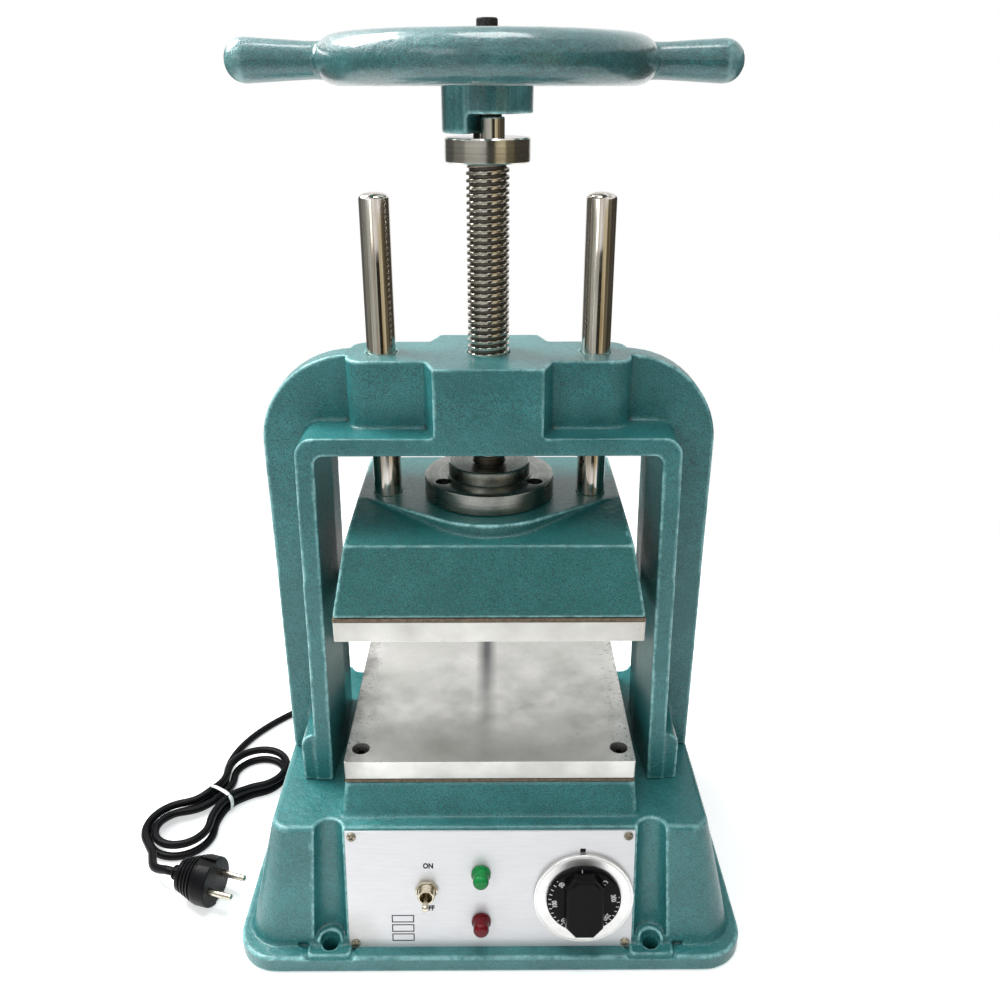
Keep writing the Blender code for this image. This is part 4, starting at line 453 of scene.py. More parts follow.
def skin(name, rings, loop=False):
    """A closed mesh over rings of equal point counts; a loop joins its last ring to its first."""
    bm = bmesh.new()
    rows = [[bm.verts.new(point) for point in ring] for ring in rings]
    for low, high in list(zip(rows, rows[1:])) + ([(rows[-1], rows[0])] if loop else []):
        for index in range(len(low)):
            after = (index + 1) % len(low)
            bm.faces.new((low[index], low[after], high[after], high[index]))
    if not loop:
        bm.faces.new(rows[0][::-1])
        bm.faces.new(rows[-1])
    return as_object(name, bm)


def on_circle(radius, angle):
    """A point (x, y) on a circle round the axis."""
    return radius * math.cos(angle), radius * math.sin(angle)


def moved(outline, x, y):
    """An outline round another middle."""
    return [(x + a, y + b) for a, b in outline]


def ring_points(radius, sides, centre=(0, 0)):
    """Points (x, y) round a circle."""
    return moved([on_circle(radius, math.tau * step / sides) for step in range(sides)], *centre)


def level(outline, height):
    """An outline of (x, y) points at a height."""
    return [(x, y, height) for x, y in outline]


def rounds(profile, sides, centre=(0, 0)):
    """A ring of points for each (radius, height) of a profile."""
    return [level(ring_points(radius, sides, centre), height) for radius, height in profile]


def turned_on_lathe(name, profile, sides=64, loop=False, centre=(0, 0)):
    """A profile of (radius, height) points turned about Z."""
    return skin(name, rounds(profile, sides, centre), loop)


def bend(centre, radius, start, end, steps):
    """Points (radius, height) on an arc between two angles in degrees."""
    return moved([on_circle(radius, math.radians(start + (end - start) * step / steps))
                  for step in range(steps + 1)], *centre)


def settled_mesh(made):
    """A new mesh of what an object's modifiers, or its letters, come to."""
    bpy.context.view_layer.update()
    return bpy.data.meshes.new_from_object(
        made.evaluated_get(bpy.context.evaluated_depsgraph_get()))


def settle(made):
    """Keep what an object's modifiers make of it as its mesh."""
    mesh = settled_mesh(made)
    made.modifiers.clear()
    old, made.data = made.data, mesh
    bpy.data.meshes.remove(old)
    mesh.name = made.name
    return made


def put(made, place):
    """Move a mesh's points; the object itself stays at the origin."""
    made.data.transform(place)
    made.data.update()
    return made


def combine(made, operation, parts):
    """Work closed shapes into another one by one."""
    for part in parts:
        step = made.modifiers.new("combine", "BOOLEAN")
        step.operation, step.solver, step.object = operation, "EXACT", part
        settle(made)
        bpy.data.objects.remove(part)
    return made


def cut_out(made, *tools):
    """Take closed shapes out of another."""
    return combine(made, "DIFFERENCE", tools)


def round_edges(made, width, steps=3, angle=32):
    """Bevel the sharp edges, if a width is given, and shade the rest smooth."""
    if width:
        step = made.modifiers.new("edges", "BEVEL")
        step.width, step.segments, step.limit_method = width, steps, "ANGLE"
        step.angle_limit = math.radians(angle)
        step.use_clamp_overlap = True
        settle(made)
    made.data.shade_smooth()
    made.data.set_sharp_from_angle(angle=math.radians(angle))
    if width:
        made.modifiers.new("flat_faces", "WEIGHTED_NORMAL").keep_sharp = True
        settle(made)
    return made


def finish(made, material, body, slot, *nodes):
    """Give a piece its material and hang it on its body in place of the nodes that it shows."""
    made.data.materials.clear()
    made.data.materials.append(material)
    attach(made, body)
    if nodes:
        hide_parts(*nodes)
    return made


profile = [(0.0050, -0.0362), (0.0055, -0.0355)]
for number in range(3):
    rib = -0.0345 + 0.0017 * number
    profile += [(0.0055, rib), (0.0048, rib + 0.0003), (0.0048, rib + 0.0008),
                (0.0055, rib + 0.0011)]
profile += [(0.0058, -0.0302), (0.0106, -0.0296), (0.0124, -0.0284), (0.0131, -0.0262)]
for number in range(4):
    groove = -0.0250 + 0.0034 * number
    radius = 0.0133 + 0.0050 * number / 4
    profile += [(radius, groove), (radius - 0.0009, groove + 0.0006),
                (radius - 0.0007, groove + 0.0015), (radius + 0.0008, groove + 0.0022)]
profile += [(0.0180, -0.0112), (0.0185, -0.0100), (0.0185, -0.0012), (0.0181, -0.0003), (0.0174, 0)]
plug = turned_on_lathe("plug_body", profile, 72)
for side in (-1, 1):
    near, far = side * 0.0158, side * 0.0210
    block = skin("notch", [[(near, y, z), (far, y, z), (far, -y, z), (near, -y, z)]
                           for y, z in ((0.0042, -0.0150), (0.0036, 0.0020))])
    pin_seat = turned_on_lathe("seat", [(0.00275, -0.0083), (0.00275, 0.0020)], 32,
                               centre=(0, side * PIN_SPREAD))
    cut_out(plug, block, pin_seat)
round_edges(plug, 0.0004, 2, 38)
finish(put(plug, PLUG_PLACE @ LYING),
       moulding("plug_rubber", (0.004, 0.004, 0.005), (0.012, 0.012, 0.012), 500.0, 0.0003, 0.7,
                Specular_IOR_Level=0.12),
       "base", "cord", "mains_plug")


def parted(tree):
    """A point's own X, Y and Z."""
    return new_node(tree, "ShaderNodeSeparateXYZ", {0: own_metres(tree)}).outputs


def from_axis(tree, apart):
    """How far a point lies from the upright axis."""
    flat = new_node(tree, "ShaderNodeCombineXYZ", {"X": apart["X"], "Y": apart["Y"]})
    return vector_of(tree, "LENGTH", flat.outputs[0])


turning, given, result = new_effect("turning_marks", {"Rings": 900.0, "Spread": 0.5},
                                    {"Tone": "Float", "Height": "Float"})
apart = parted(turning)
rolled = new_node(turning, "ShaderNodeCombineXYZ",
                  {"X": from_axis(turning, apart), "Z": apart["Z"]})
marks = noise(turning, given["Rings"], 3, 0.6, rolled.outputs[0])
blotch = noise(turning, 55, 3, 0.6)
both = new_node(turning, "ShaderNodeMix", {0: given["Spread"], 2: marks, 3: blotch})
feed(turning, result, Tone=ranged(turning, both.outputs[0], 0.3, 0.7), Height=marks)


def turned_metal(name, dark, light, roughness, rings, depth=0.00002):
    """Metal with turning marks round the upright axis; its tone wanders between two colours."""
    made, tree, shader = new_material(name, light, roughness, 1.0)
    marks = add_effect(tree, turning, Rings=rings, Spread=0.5)
    feed(tree, shader, Base_Color=mixed(tree, marks["Tone"], (*dark, 1), (*light, 1)),
         Roughness=ranged(tree, marks["Tone"], 0, 1, roughness + 0.12, roughness))
    add_bump(tree, shader, marks["Height"], depth)
    return made


pin_nickel = turned_metal("pin_nickel", (0.40, 0.36, 0.28), (0.74, 0.70, 0.62), 0.20, 500.0)
for side, node in ((-1, "plug_pin_near"), (1, "plug_pin_far")):
    profile = [(0.0024, -0.008), (0.0024, 0.0172)] + bend((0.0010, 0.0176), 0.0014, 0, 90, 5)
    pin = turned_on_lathe(node.replace("plug_pin", "contact_pin"), profile, 40,
                          centre=(0, side * PIN_SPREAD))
    round_edges(put(pin, PLUG_PLACE @ LYING), 0, 2, 40)
    finish(pin, pin_nickel, "base", "nickel", node)


# The tie round the hank's waist: a wire in white plastic with a flat web at each side, bent round
# the strands and closed.

TIE_ROOM = 0.0040
TIE_SWAY = 0.0012
TIE_REACH = (0.003, 0.03)
TIE_STEPS = 96
TIE_POWER = 2 / 2.8
TIE_SECTION = ((-0.0017, 0), (-0.0013, 0.00032), (-0.0005, 0.00034), (0, 0.0007),
               (0.0005, 0.00034), (0.0013, 0.00032), (0.0017, 0), (0.0013, -0.0001),
               (0, -0.00015), (-0.0013, -0.0001))
hank_place = Matrix.Translation(HANK_MIDDLE) @ Matrix.Rotation(HANK_LEAN, 4, "Z")
inside = [hank_place.inverted() @ point for point in route]
inside = [point for point in inside
          if abs(point.x) < TIE_REACH[0] and abs(point.y) < TIE_REACH[1]]
low_y, high_y = min(point.y for point in inside), max(point.y for point in inside)
low_z, high_z = min(point.z for point in inside), max(point.z for point in inside)
half_y, half_z = (high_y - low_y) / 2 + TIE_ROOM, (high_z - low_z) / 2 + TIE_ROOM
rings = []
for step in range(TIE_STEPS):
    angle = math.tau * step / TIE_STEPS
    lean = math.atan2(math.sin(angle) / half_z, math.cos(angle) / half_y)
    y, z = [math.copysign(half * abs(value) ** TIE_POWER, value) + (low + high) / 2
            for half, value, low, high in ((half_y, math.cos(angle), low_y, high_y),
                                           (half_z, math.sin(angle), low_z, high_z))]
    out = Vector((0, math.cos(lean), math.sin(lean)))
    sway = TIE_SWAY * math.sin(angle)
    rings.append([Vector((sway + x, y, z)) + out * thick for x, thick in TIE_SECTION])
band = round_edges(put(skin("twist_tie", rings, loop=True), hank_place), 0, 2, 60)
finish(band, moulding("tie_plastic", (0.82, 0.82, 0.80), (0.55, 0.54, 0.50), 700.0),
       "base", "white", "cord_tie")


# The base: a hollow iron casting with drafted sides on a flat rim, a half-round pocket with a pad
# and a bolt hole at each corner, a block for the platen, and hammer-finish enamel all over.

FLANGE_HALF = (0.1781, 0.1246)
RIM_TOP = 0.0130
BLOCK_TOP = 0.1258
RIM_CORNER = 0.029
BODY_CORNER = 0.012
POCKET_X, POCKET_Y = 0.1123, 0.1132
POCKET_RADIUS = 0.0117
POCKET_TAPER = 0.0022
PANEL_MIDDLE = 0.05792
CAST_GRAIN = 0.0011
RIPPLE_DEPTH, RIPPLE_SCALE = 0.00012, 420
CORNERS = [(x, y) for x in (-1, 1) for y in (-1, 1)]


def rounded_box(half_x, half_y, radius, steps=10):
    """An anticlockwise outline of a rectangle with round corners."""
    outline = []
    for number, (x, y) in enumerate(((1, 1), (-1, 1), (-1, -1), (1, -1))):
        centre = (x * (half_x - radius), y * (half_y - radius))
        outline += bend(centre, radius, 90 * number, 90 * number + 90, steps)
    return outline


def stack(name, *layers):
    """A closed shape over outlines of equal point counts, each given with its height."""
    return skin(name, [level(outline, height) for outline, height in layers])


def box_stack(name, *layers, steps=10):
    """A closed shape over round-cornered boxes: half width, half depth, corner and height."""
    return stack(name, *[(rounded_box(*sizes, steps), height) for *sizes, height in layers])


def add_to(made, *parts):
    """Run closed shapes together."""
    return combine(made, "UNION", parts)


def as_cast(made, rounds_of_softening=3, keep=0.22):
    """Soften every edge and inner corner, and ripple the faces, as a sand casting has them."""
    step = made.modifiers.new("skin", "REMESH")
    step.mode, step.voxel_size = "VOXEL", CAST_GRAIN
    step = made.modifiers.new("soften", "SMOOTH")
    step.factor, step.iterations = 0.5, rounds_of_softening
    made.modifiers.new("thin_out", "DECIMATE").ratio = keep
    settle(made)
    rough = [vertex.normal * RIPPLE_DEPTH * turbulence.noise(vertex.co * RIPPLE_SCALE)
             for vertex in made.data.vertices]
    for vertex, shift in zip(made.data.vertices, rough):
        vertex.co += shift
    made.data.shade_smooth()
    return made


def base_outline(height, less):
    """The drafted body's outline at a height, drawn in by a margin."""
    half_x, half_y = body_half(height)
    corner = BODY_CORNER + BODY_CORNER * (TABLE_TOP - height) / (TABLE_TOP - FLOOR_RIM)
    return rounded_box(half_x - less, half_y - less, max(corner - less, 0.002), 12)


def rim_outline(less):
    """The flange's outline, drawn in by a margin."""
    return rounded_box(FLANGE_HALF[0] - less, FLANGE_HALF[1] - less, RIM_CORNER - less, 12)


def mirrored(right):
    """An outline's right half and, back down, its left half."""
    return right + [(-x, z) for x, z in reversed(right)]


def pocket(side_x, side_y, low, high, more=0.0):
    """The half-round room for a bolt, tapering upwards, grown by a margin."""
    layers = []
    for height in (low, high):
        share = (height - FLOOR_RIM) / (TABLE_TOP - FLOOR_RIM)
        centre = (side_x * (POCKET_X - POCKET_TAPER * share), side_y * body_half(height)[1])
        layers.append((ring_points(POCKET_RADIUS - POCKET_TAPER * share + more, 40, centre),
                       height))
    return stack("pocket", *layers)


base = stack("press_base",
             *[(rim_outline(less), height) for less, height in
               ((0.0006, 0), (0, 0.0006), (0, 0.0116), (0.0004, 0.0126), (0.0012, RIM_TOP))],
             *[(base_outline(height, less), height) for less, height in
               ((-0.0006, RIM_TOP), (-0.0001, 0.0138), (0, 0.0180), (0.0001, 0.1025),
                (0.0009, 0.1045), (0.0025, TABLE_TOP))])
add_to(base, box_stack("block", (0.1035, 0.0890, 0.004, 0.1000), (0.1035, 0.0890, 0.004, TABLE_TOP),
                       (0.1020, 0.0872, 0.0032, 0.1066), (0.1004, 0.0782, 0.003, 0.1246),
                       (0.0994, 0.0764, 0.002, BLOCK_TOP)))
gap = mirrored([(0.0172, 0.0140)] + [(0.0232 - u, 0.0060 - v) for u, v in
                                     bend((0, 0), 0.0060, 0, 90, 8)] + [(0.0232, -0.0020)])
hump_profile = [(0.0116, 0.010), (0.0114, 0.0150), (0.0104, 0.0180), (0.0078, 0.0198),
                (0.0030, 0.0206)]
for x, y in CORNERS:
    mid_x, mid_y = x * POCKET_X, y * POCKET_Y
    cut_out(base, pocket(x, y, 0.0125, TABLE_TOP + 0.002))
    flared = [(mid_x + a, mid_y + y * b) for a, b in gap]
    cut_out(base, stack("gap", (flared, 0.0113), (flared, 0.0150)))
    pad = moved(rounded_box(0.0155, 0.0123, 0.0030, 8), mid_x, mid_y - y * 0.0022)
    small = [(mid_x + (a - mid_x) * 0.95, mid_y + (b - mid_y) * 0.95) for a, b in pad]
    add_to(base, stack("pad", (pad, 0.0070), (pad, 0.0134), (small, 0.0145)))
    hump = turned_on_lathe("hump", hump_profile, 40)
    add_to(base, put(hump, Matrix.Translation((mid_x, mid_y - y * 0.0058, 0))))
    cut_out(base, turned_on_lathe("front_flat", [(0.0068, 0.0145), (0.0076, 0.0230)], 40,
                                  centre=(mid_x, mid_y + y * 0.0006)))
    room = moved(rounded_box(0.0150, 0.0094, 0.002, 4), mid_x, mid_y + y * 0.0100)
    cut_out(base, stack("front_room", (room, 0.0145), (room, 0.0230)))
inner = box_stack("hollow", (0.1632, 0.1052, 0.016, -0.002), (0.1632, 0.1052, 0.016, FLOOR_RIM),
                  (0.1435, 0.0928, 0.004, 0.0972))
add_to(inner, box_stack("under_block", (0.092, 0.069, 0.004, 0.094),
                        (0.092, 0.069, 0.004, 0.1178)))
for x, y in CORNERS:
    cut_out(inner, pocket(x, y, -0.004, TABLE_TOP, 0.008))
cut_out(base, inner)
cut_out(base, box_stack("rebate", (0.1644, 0.1064, 0.020, -0.002), (0.1644, 0.1064, 0.020, 0.0023)))
for x, y in CORNERS:
    cut_out(base, turned_on_lathe("bolt_hole", [(0.0055, -0.002), (0.0055, 0.030)], 40,
                                  centre=(x * POCKET_X, y * POCKET_Y)))
window = box_stack("window", (0.0876, 0.0353, 0.003, -0.016), (0.0876, 0.0353, 0.003, 0.004))
cut_out(base, put(window, face_place(0, PANEL_MIDDLE, -1)))
as_cast(base, keep=0.18)

cast_edges, given, result = new_effect(
    "cast_edges", {"Low": 0.52, "High": 0.60, "Patches": 60.0}, {"Mask": "Float"})
shape_of = new_node(cast_edges, "ShaderNodeNewGeometry").outputs["Pointiness"]
sharp = ranged(cast_edges, shape_of, given["Low"], given["High"])
broken = ranged(cast_edges, noise(cast_edges, given["Patches"], 3, 0.6), 0.35, 0.60, 0.25, 1)
feed(cast_edges, result, Mask=number_of(cast_edges, "MULTIPLY", sharp, broken))

hammered, given, result = new_effect(
    "hammered_paint",
    {"Dark": (0.02, 0.1, 0.1, 1), "Middle": (0.1, 0.2, 0.2, 1), "Light": (0.2, 0.4, 0.4, 1),
     "Flake": (0.4, 0.8, 0.8, 1), "Grain": 1000.0, "Peel": 260.0},
    {"Colour": "Color", "Roughness": "Float", "Height": "Float"})
grain = noise(hammered, given["Grain"], 3, 0.7)
peel = noise(hammered, given["Peel"], 2, 0.5)
cloud = noise(hammered, 30, 5, 0.7)
flake_glint = noise(hammered, 2100, 2, 0.6)
tone = mixed(hammered, ranged(hammered, cloud, 0.35, 0.65), given["Middle"], given["Light"])
tone = mixed(hammered, ranged(hammered, grain, 0.57, 0.38, 0, 0.85), tone, given["Dark"])
# Pale specks at the finest grain are painted glints on the paint's flakes.
tone = mixed(hammered, ranged(hammered, flake_glint, 0.64, 0.74, 0, 0.55), tone, given["Flake"])
relief = new_node(hammered, "ShaderNodeMix", {0: 0.35, 2: peel, 3: grain}).outputs[0]
feed(hammered, result, Colour=tone, Height=relief,
     Roughness=ranged(hammered, grain, 0.35, 0.65, 0.40, 0.24))

RUBBED_EDGE_AND_HIGHLIGHT = (0.42, 0.82, 0.82, 1)
CORNER_SHADE = (0.012, 0.045, 0.045, 1)


def enamel(name, dark=(0.004, 0.050, 0.052), middle=(0.022, 0.215, 0.220),
           light=(0.050, 0.320, 0.325), coat=0.25):
    """Teal hammer-finish enamel with painted glints, worn thin along the casting's edges and given
    a painted highlight there, and painted shade in its corners.
    """
    made, tree, shader = new_material(name, middle, 0.32, 0, Coat_Weight=coat, Coat_Roughness=0.16)
    paint = add_effect(tree, hammered, Dark=(*dark, 1), Middle=(*middle, 1), Light=(*light, 1),
                       Flake=RUBBED_EDGE_AND_HIGHLIGHT, Grain=1300.0, Peel=260.0)
    edge = add_effect(tree, cast_edges, Low=0.508, High=0.545, Patches=140.0)
    # Inner corners and creases get darker paint: painted shade.
    deep = add_effect(tree, cast_edges, Low=0.485, High=0.44, Patches=60.0)
    # Along the edges the paint is rubbed pale, and this is also a painted highlight.
    colour = mixed(tree, edge["Mask"], paint["Colour"], RUBBED_EDGE_AND_HIGHLIGHT)
    feed(tree, shader, Base_Color=mixed(tree, deep["Mask"], colour, CORNER_SHADE),
         Roughness=paint["Roughness"])
    add_bump(tree, shader, paint["Height"], 0.0009, 0.9)
    return made


finish(base, enamel("base_enamel"), "base", "paint", "base_casting")


# What closes and holds the base: a steel sheet in the rebate under it, and two hexagon bolts that
# come up through the table into the arch's feet.

def dress(material, *nodes):
    """Give nodes of the model that keep their shape a material."""
    for node in nodes:
        made = bpy.data.objects[node]
        for seat in made.material_slots:
            seat.material = material
        if not made.material_slots:
            made.data.materials.append(material)


def mottled(name, first, second, grain, span, polish, metallic=0.0, **more):
    """A finish that wanders between two colours, and from one roughness to another if given two."""
    made, tree, shader = new_material(name, second, polish[0], metallic, **more)
    spots = noise(tree, *grain)
    feed(tree, shader,
         Base_Color=mixed(tree, ranged(tree, spots, *span), (*first, 1), (*second, 1)))
    if len(polish) > 1:
        feed(tree, shader, Roughness=ranged(tree, spots, 0.3, 0.7, *polish))
    return made


plain_steel = mottled("plain_steel", (0.20, 0.19, 0.18), (0.36, 0.35, 0.33), (70, 4, 0.6),
                      (0.35, 0.65), (0.50, 0.30), 1.0)
tree = plain_steel.node_tree
add_bump(tree, tree.nodes["Principled BSDF"], noise(tree, 900, 2, 0.6), 0.00005)
dress(plain_steel, "bottom_cover", "arch_bolt_left", "arch_bolt_right")


# The arch: one iron casting that stands on the table, a web with a deep rib round its window, a
# boss for the screw in the middle and a round-cornered boss for each post, enamelled as the base.

ARCH_FOOT = 0.1055
ARCH_TOP = 0.4097
ARCH_CORNER = 0.060
WEB_HALF = 0.0105
RIB_HALF, RIB_TOP_HALF = 0.0505, 0.0445
RIB_WALL = 0.0116
WINDOW_HALF, WINDOW_TOP = 0.1103, 0.354
LEG_DRAFT = 0.0036
BOSS_HALF, BOSS_CORNER, BOSS_FOOT = (0.0907, 0.0292), 0.014, 0.3598
POST_X = 0.0692
OVERRUN = 0.002


def upright(name, outline, front, back):
    """A closed shape between two depths over an outline of (x, z) points."""
    return skin(name, [[(x, y, z) for x, z in outline] for y in (front, back)])


def window_shape(more, foot, corner):
    """The window's outline, grown by a margin."""
    half, top = WINDOW_HALF + more, WINDOW_TOP + max(more, 0)
    return mirrored([(half + LEG_DRAFT, foot), (half, top - corner)]
                    + bend((half - corner, top - corner), corner, 0, 90, 8)[1:])


shoulder = bend((0.0891, ARCH_TOP - ARCH_CORNER), ARCH_CORNER, 0, 90, 32)
arch = upright("press_arch", mirrored([(0.1491, ARCH_FOOT)] + shoulder), -WEB_HALF, WEB_HALF)
add_to(arch, upright("rib", window_shape(RIB_WALL, ARCH_FOOT, 0.012), -RIB_HALF, RIB_HALF))
half = mirrored(bend([reach - BOSS_CORNER for reach in BOSS_HALF], BOSS_CORNER, 0, 90, 12)
                + [(0.0400, BOSS_HALF[1]), (0.0340, RIB_HALF)])
bosses = half + [(-x, -y) for x, y in half]
add_to(arch, stack("bosses", (bosses, BOSS_FOOT), (bosses, ARCH_TOP)))
foot = ([(0.1197, ARCH_FOOT), (0.1346, ARCH_FOOT)] + bend((0.1257, 0.1348), 0.0089, 0, 90, 8)
        + [(0.1197, 0.1437)])
for side in (-1, 1):
    add_to(arch, upright("foot", [(side * x, z) for x, z in foot], -0.0493, 0.0493))
for vertex in arch.data.vertices:
    share = (vertex.co.z - ARCH_FOOT) / (ARCH_TOP - ARCH_FOOT)
    vertex.co.y *= 1 - (1 - RIB_TOP_HALF / RIB_HALF) * share
cut_out(arch, skin("opening", [[(x, depth, z) for x, z in
                                window_shape(draft, ARCH_FOOT - OVERRUN, 0.006)]
                               for depth, draft in ((-RIB_HALF - OVERRUN, 0), (0, -0.0038),
                                                    (RIB_HALF + OVERRUN, 0))]))
for x, radius in ((0, 0.0138), (-POST_X, 0.0099), (POST_X, 0.0099)):
    ends = [(radius, WINDOW_TOP - OVERRUN), (radius, ARCH_TOP + OVERRUN)]
    cut_out(arch, turned_on_lathe("way", ends, 48, centre=(x, 0)))
for side in (-1, 1):
    ends = [(0.0053, ARCH_FOOT - OVERRUN), (0.0053, 0.1318)]
    cut_out(arch, turned_on_lathe("bolt_way", ends, 32, centre=(side * 0.1243, 0)))
as_cast(arch)
finish(arch, enamel("arch_enamel"), "base", "paint", "arch_casting")


# The lower platen: a sheet of brown insulating board on the block, a heater let into the underside
# of a milled aluminium plate, a sunk socket screw at each front corner, and two more that come up
# through the block at the back.

PLATE_HALF = (0.100, 0.077)
LOWER_PLATE = (0.1286, 0.1430)
LOWER_PLATE_EDGE = (0.1420, 0.1429)
PLATE_CORNER = 0.0012
COUNTERBORE = 0.0061
COUNTERBORE_DEPTH = 0.0090
PLATE_SCREW = 0.0055
SCREW_SOCKET = 0.0029
SCREW_PLACES = [(0.090 * x, 0.0622 * y) for x, y in CORNERS]
FRONT_PLACES = [place for place in SCREW_PLACES if place[1] < 0]
UPSIDE_DOWN = Matrix.Rotation(math.pi, 4, "X")

dress(mottled("insulating_board", (0.115, 0.080, 0.050), (0.27, 0.20, 0.135), (420, 4, 0.7),
              (0.3, 0.7), (0.85, 0.6)), "lower_insulation", "upper_insulation")
mica, tree, shader = new_material("mica_heater", (0.33, 0.27, 0.20), 0.5)
flakes = new_node(tree, "ShaderNodeTexVoronoi", {"Vector": own_metres(tree), "Scale": 160.0})
feed(tree, shader, Base_Color=mixed(tree, flakes.outputs["Distance"],
                                    (0.42, 0.36, 0.27, 1), (0.20, 0.15, 0.10, 1)))
dress(mica, "lower_heater", "upper_heater")


def milled_plate(name, low, high, places, heads_up):
    """A plate with softened edges and a counterbore for each screw."""
    plate = box_stack(name, (*PLATE_HALF, PLATE_CORNER, low), (*PLATE_HALF, PLATE_CORNER, high),
                      steps=3)
    ends = ((high - COUNTERBORE_DEPTH, high + 0.001) if heads_up
            else (low - 0.001, low + COUNTERBORE_DEPTH))
    for place in places:
        cut_out(plate, turned_on_lathe("counterbore", [(COUNTERBORE, end) for end in ends], 48,
                                       centre=place))
    return round_edges(plate, 0.0005, 2, 40)


def hexagon(radius, sides, height, centre=(0, 0)):
    """A ring of points along a hexagon, as many as a round ring has."""
    ring = []
    for step in range(sides):
        angle = math.tau * step / sides
        reach = radius * math.cos(math.pi / 6) / math.cos((angle % (math.pi / 3)) - math.pi / 6)
        ring.append(on_circle(reach, angle))
    return level(moved(ring, *centre), height)


def socket_screw(name, radius, low, high, socket, centre):
    """A screw head with a plain side, a bevelled edge and a hexagon socket."""
    edge = radius * 0.12
    rings = rounds([(radius, low), (radius, high - edge), (radius - edge * 0.4, high - edge * 0.3),
                    (radius - edge, high)], 48, centre)
    rings += [hexagon(socket * 1.06, 48, high, centre), hexagon(socket, 48, high - 0.0003, centre),
              hexagon(socket, 48, high - (high - low) * 0.6, centre)]
    return round_edges(skin(name, rings), 0, 2, 35)


blackened = mottled("blackened_steel", (0.012, 0.012, 0.013), (0.070, 0.066, 0.060), (500, 3, 0.6),
                    (0.45, 0.75), (0.50, 0.34), 0.7)

milled, given, result = new_effect(
    "milled_plate",
    {"Dark": (0.5, 0.5, 0.5, 1), "Light": (0.8, 0.8, 0.8, 1), "Clouds": 26.0, "Scratches": 500.0},
    {"Colour": "Color", "Roughness": "Float", "Height": "Float"})
cloud = noise(milled, given["Clouds"], 5, 0.62)
long_way = vector_of(milled, "MULTIPLY", own_metres(milled), (0.05, 1.0, 1.0))
spots = noise(milled, 140, 4, 0.7)
colour = mixed(milled, ranged(milled, cloud, 0.30, 0.68), given["Dark"], given["Light"])
colour = mixed(milled, ranged(milled, spots, 0.66, 0.78, 0, 0.5), colour, (0.16, 0.15, 0.14, 1))
feed(milled, result, Colour=colour, Roughness=ranged(milled, cloud, 0.3, 0.7, 0.50, 0.26),
     Height=noise(milled, given["Scratches"], 2, 0.5, long_way))


def milled_aluminium(name, dark, light):
    """Milled plate, its material, nodes and shader, with the colour still to be linked."""
    made, tree, shader = new_material(name, light, 0.35, 0.85)
    metal = add_effect(tree, milled, Dark=(*dark, 1), Light=(*light, 1), Clouds=24.0,
                       Scratches=700.0)
    feed(tree, shader, Roughness=metal["Roughness"])
    add_bump(tree, shader, metal["Height"], 0.00004, 0.6)
    return made, tree, shader, metal["Colour"]


lower_metal, tree, shader, colour = milled_aluminium(
    "lower_platen_metal", (0.62, 0.615, 0.58), (0.84, 0.83, 0.795))
apart = parted(tree)
drift = ranged(tree, noise(tree, 30, 3, 0.6), 0.3, 0.7, 0.0, 0.030)
left_edge = number_of(tree, "ADD", apart["X"], drift)
colour = mixed(tree, ranged(tree, left_edge, -0.074, -0.094, 0, 0.65), colour,
               (0.17, 0.16, 0.15, 1))
on_top = ranged(tree, apart["Z"], *LOWER_PLATE_EDGE)
# A dark streak down the middle of the top is a painted reflection.
away = number_of(tree, "ABSOLUTE", number_of(tree, "ADD", apart["X"], 0.003))
painted_reflection = number_of(tree, "MULTIPLY", ranged(tree, away, 0.0088, 0.0012, 0, 0.85),
                  ranged(tree, apart["Y"], -0.060, 0.055, 0.10, 1))
colour = mixed(tree, number_of(tree, "MULTIPLY", painted_reflection, on_top), colour,
               (0.075, 0.075, 0.085, 1))
near_ends = ranged(tree, number_of(tree, "ABSOLUTE", apart["X"]), 0.080, 0.099)
specks = number_of(tree, "MULTIPLY", near_ends,
                   ranged(tree, noise(tree, 330, 4, 0.7), 0.55, 0.68, 0, 0.8))
colour = mixed(tree, number_of(tree, "MULTIPLY", specks, on_top), colour,
               (0.10, 0.095, 0.085, 1))
# The plate's sides are painted darker than its top: painted shade.
colour = mixed(tree, ranged(tree, apart["Z"], *LOWER_PLATE_EDGE, 0.40, 0.0), colour,
               (0.42, 0.415, 0.39, 1))
feed(tree, shader, Base_Color=colour)
finish(milled_plate("lower_plate", *LOWER_PLATE, FRONT_PLACES, True), lower_metal, "base",
       "platen", "lower_platen")
lower_screws = [socket_screw("lower_plate_screw", PLATE_SCREW, 0.1340, 0.1395, SCREW_SOCKET, place)
                for place in FRONT_PLACES]
for side in (-1, 1):
    from_below = socket_screw("lower_plate_screw", PLATE_SCREW, -0.1175, -0.1135, SCREW_SOCKET,
                              (side * 0.085, -0.060))
    lower_screws.append(put(from_below, UPSIDE_DOWN))
for number, screw in enumerate(lower_screws, 1):
    screw.name = "lower_plate_screw_%d" % number
    finish(screw, blackened, "base", "black_oxide", "lower_platen_bolt_%d" % number)


# The control panel: a silver sheet on the sloping front, held by four small screws and printed in
# black with the switch's two positions, the dial's index and three empty boxes.

PANEL = face_place(0, PANEL_MIDDLE, -1) @ Matrix.Translation((0, 0, 0.0003))
PANEL_FACE = 0.00156
INK_THICK = 0.00004
SWITCH_X = -0.0437
LAMP_X = -0.0063
BRUSHED = (0.08, 1, 1)
CAPITAL_SHARE = 0.70
INK_SPREAD = 0.062

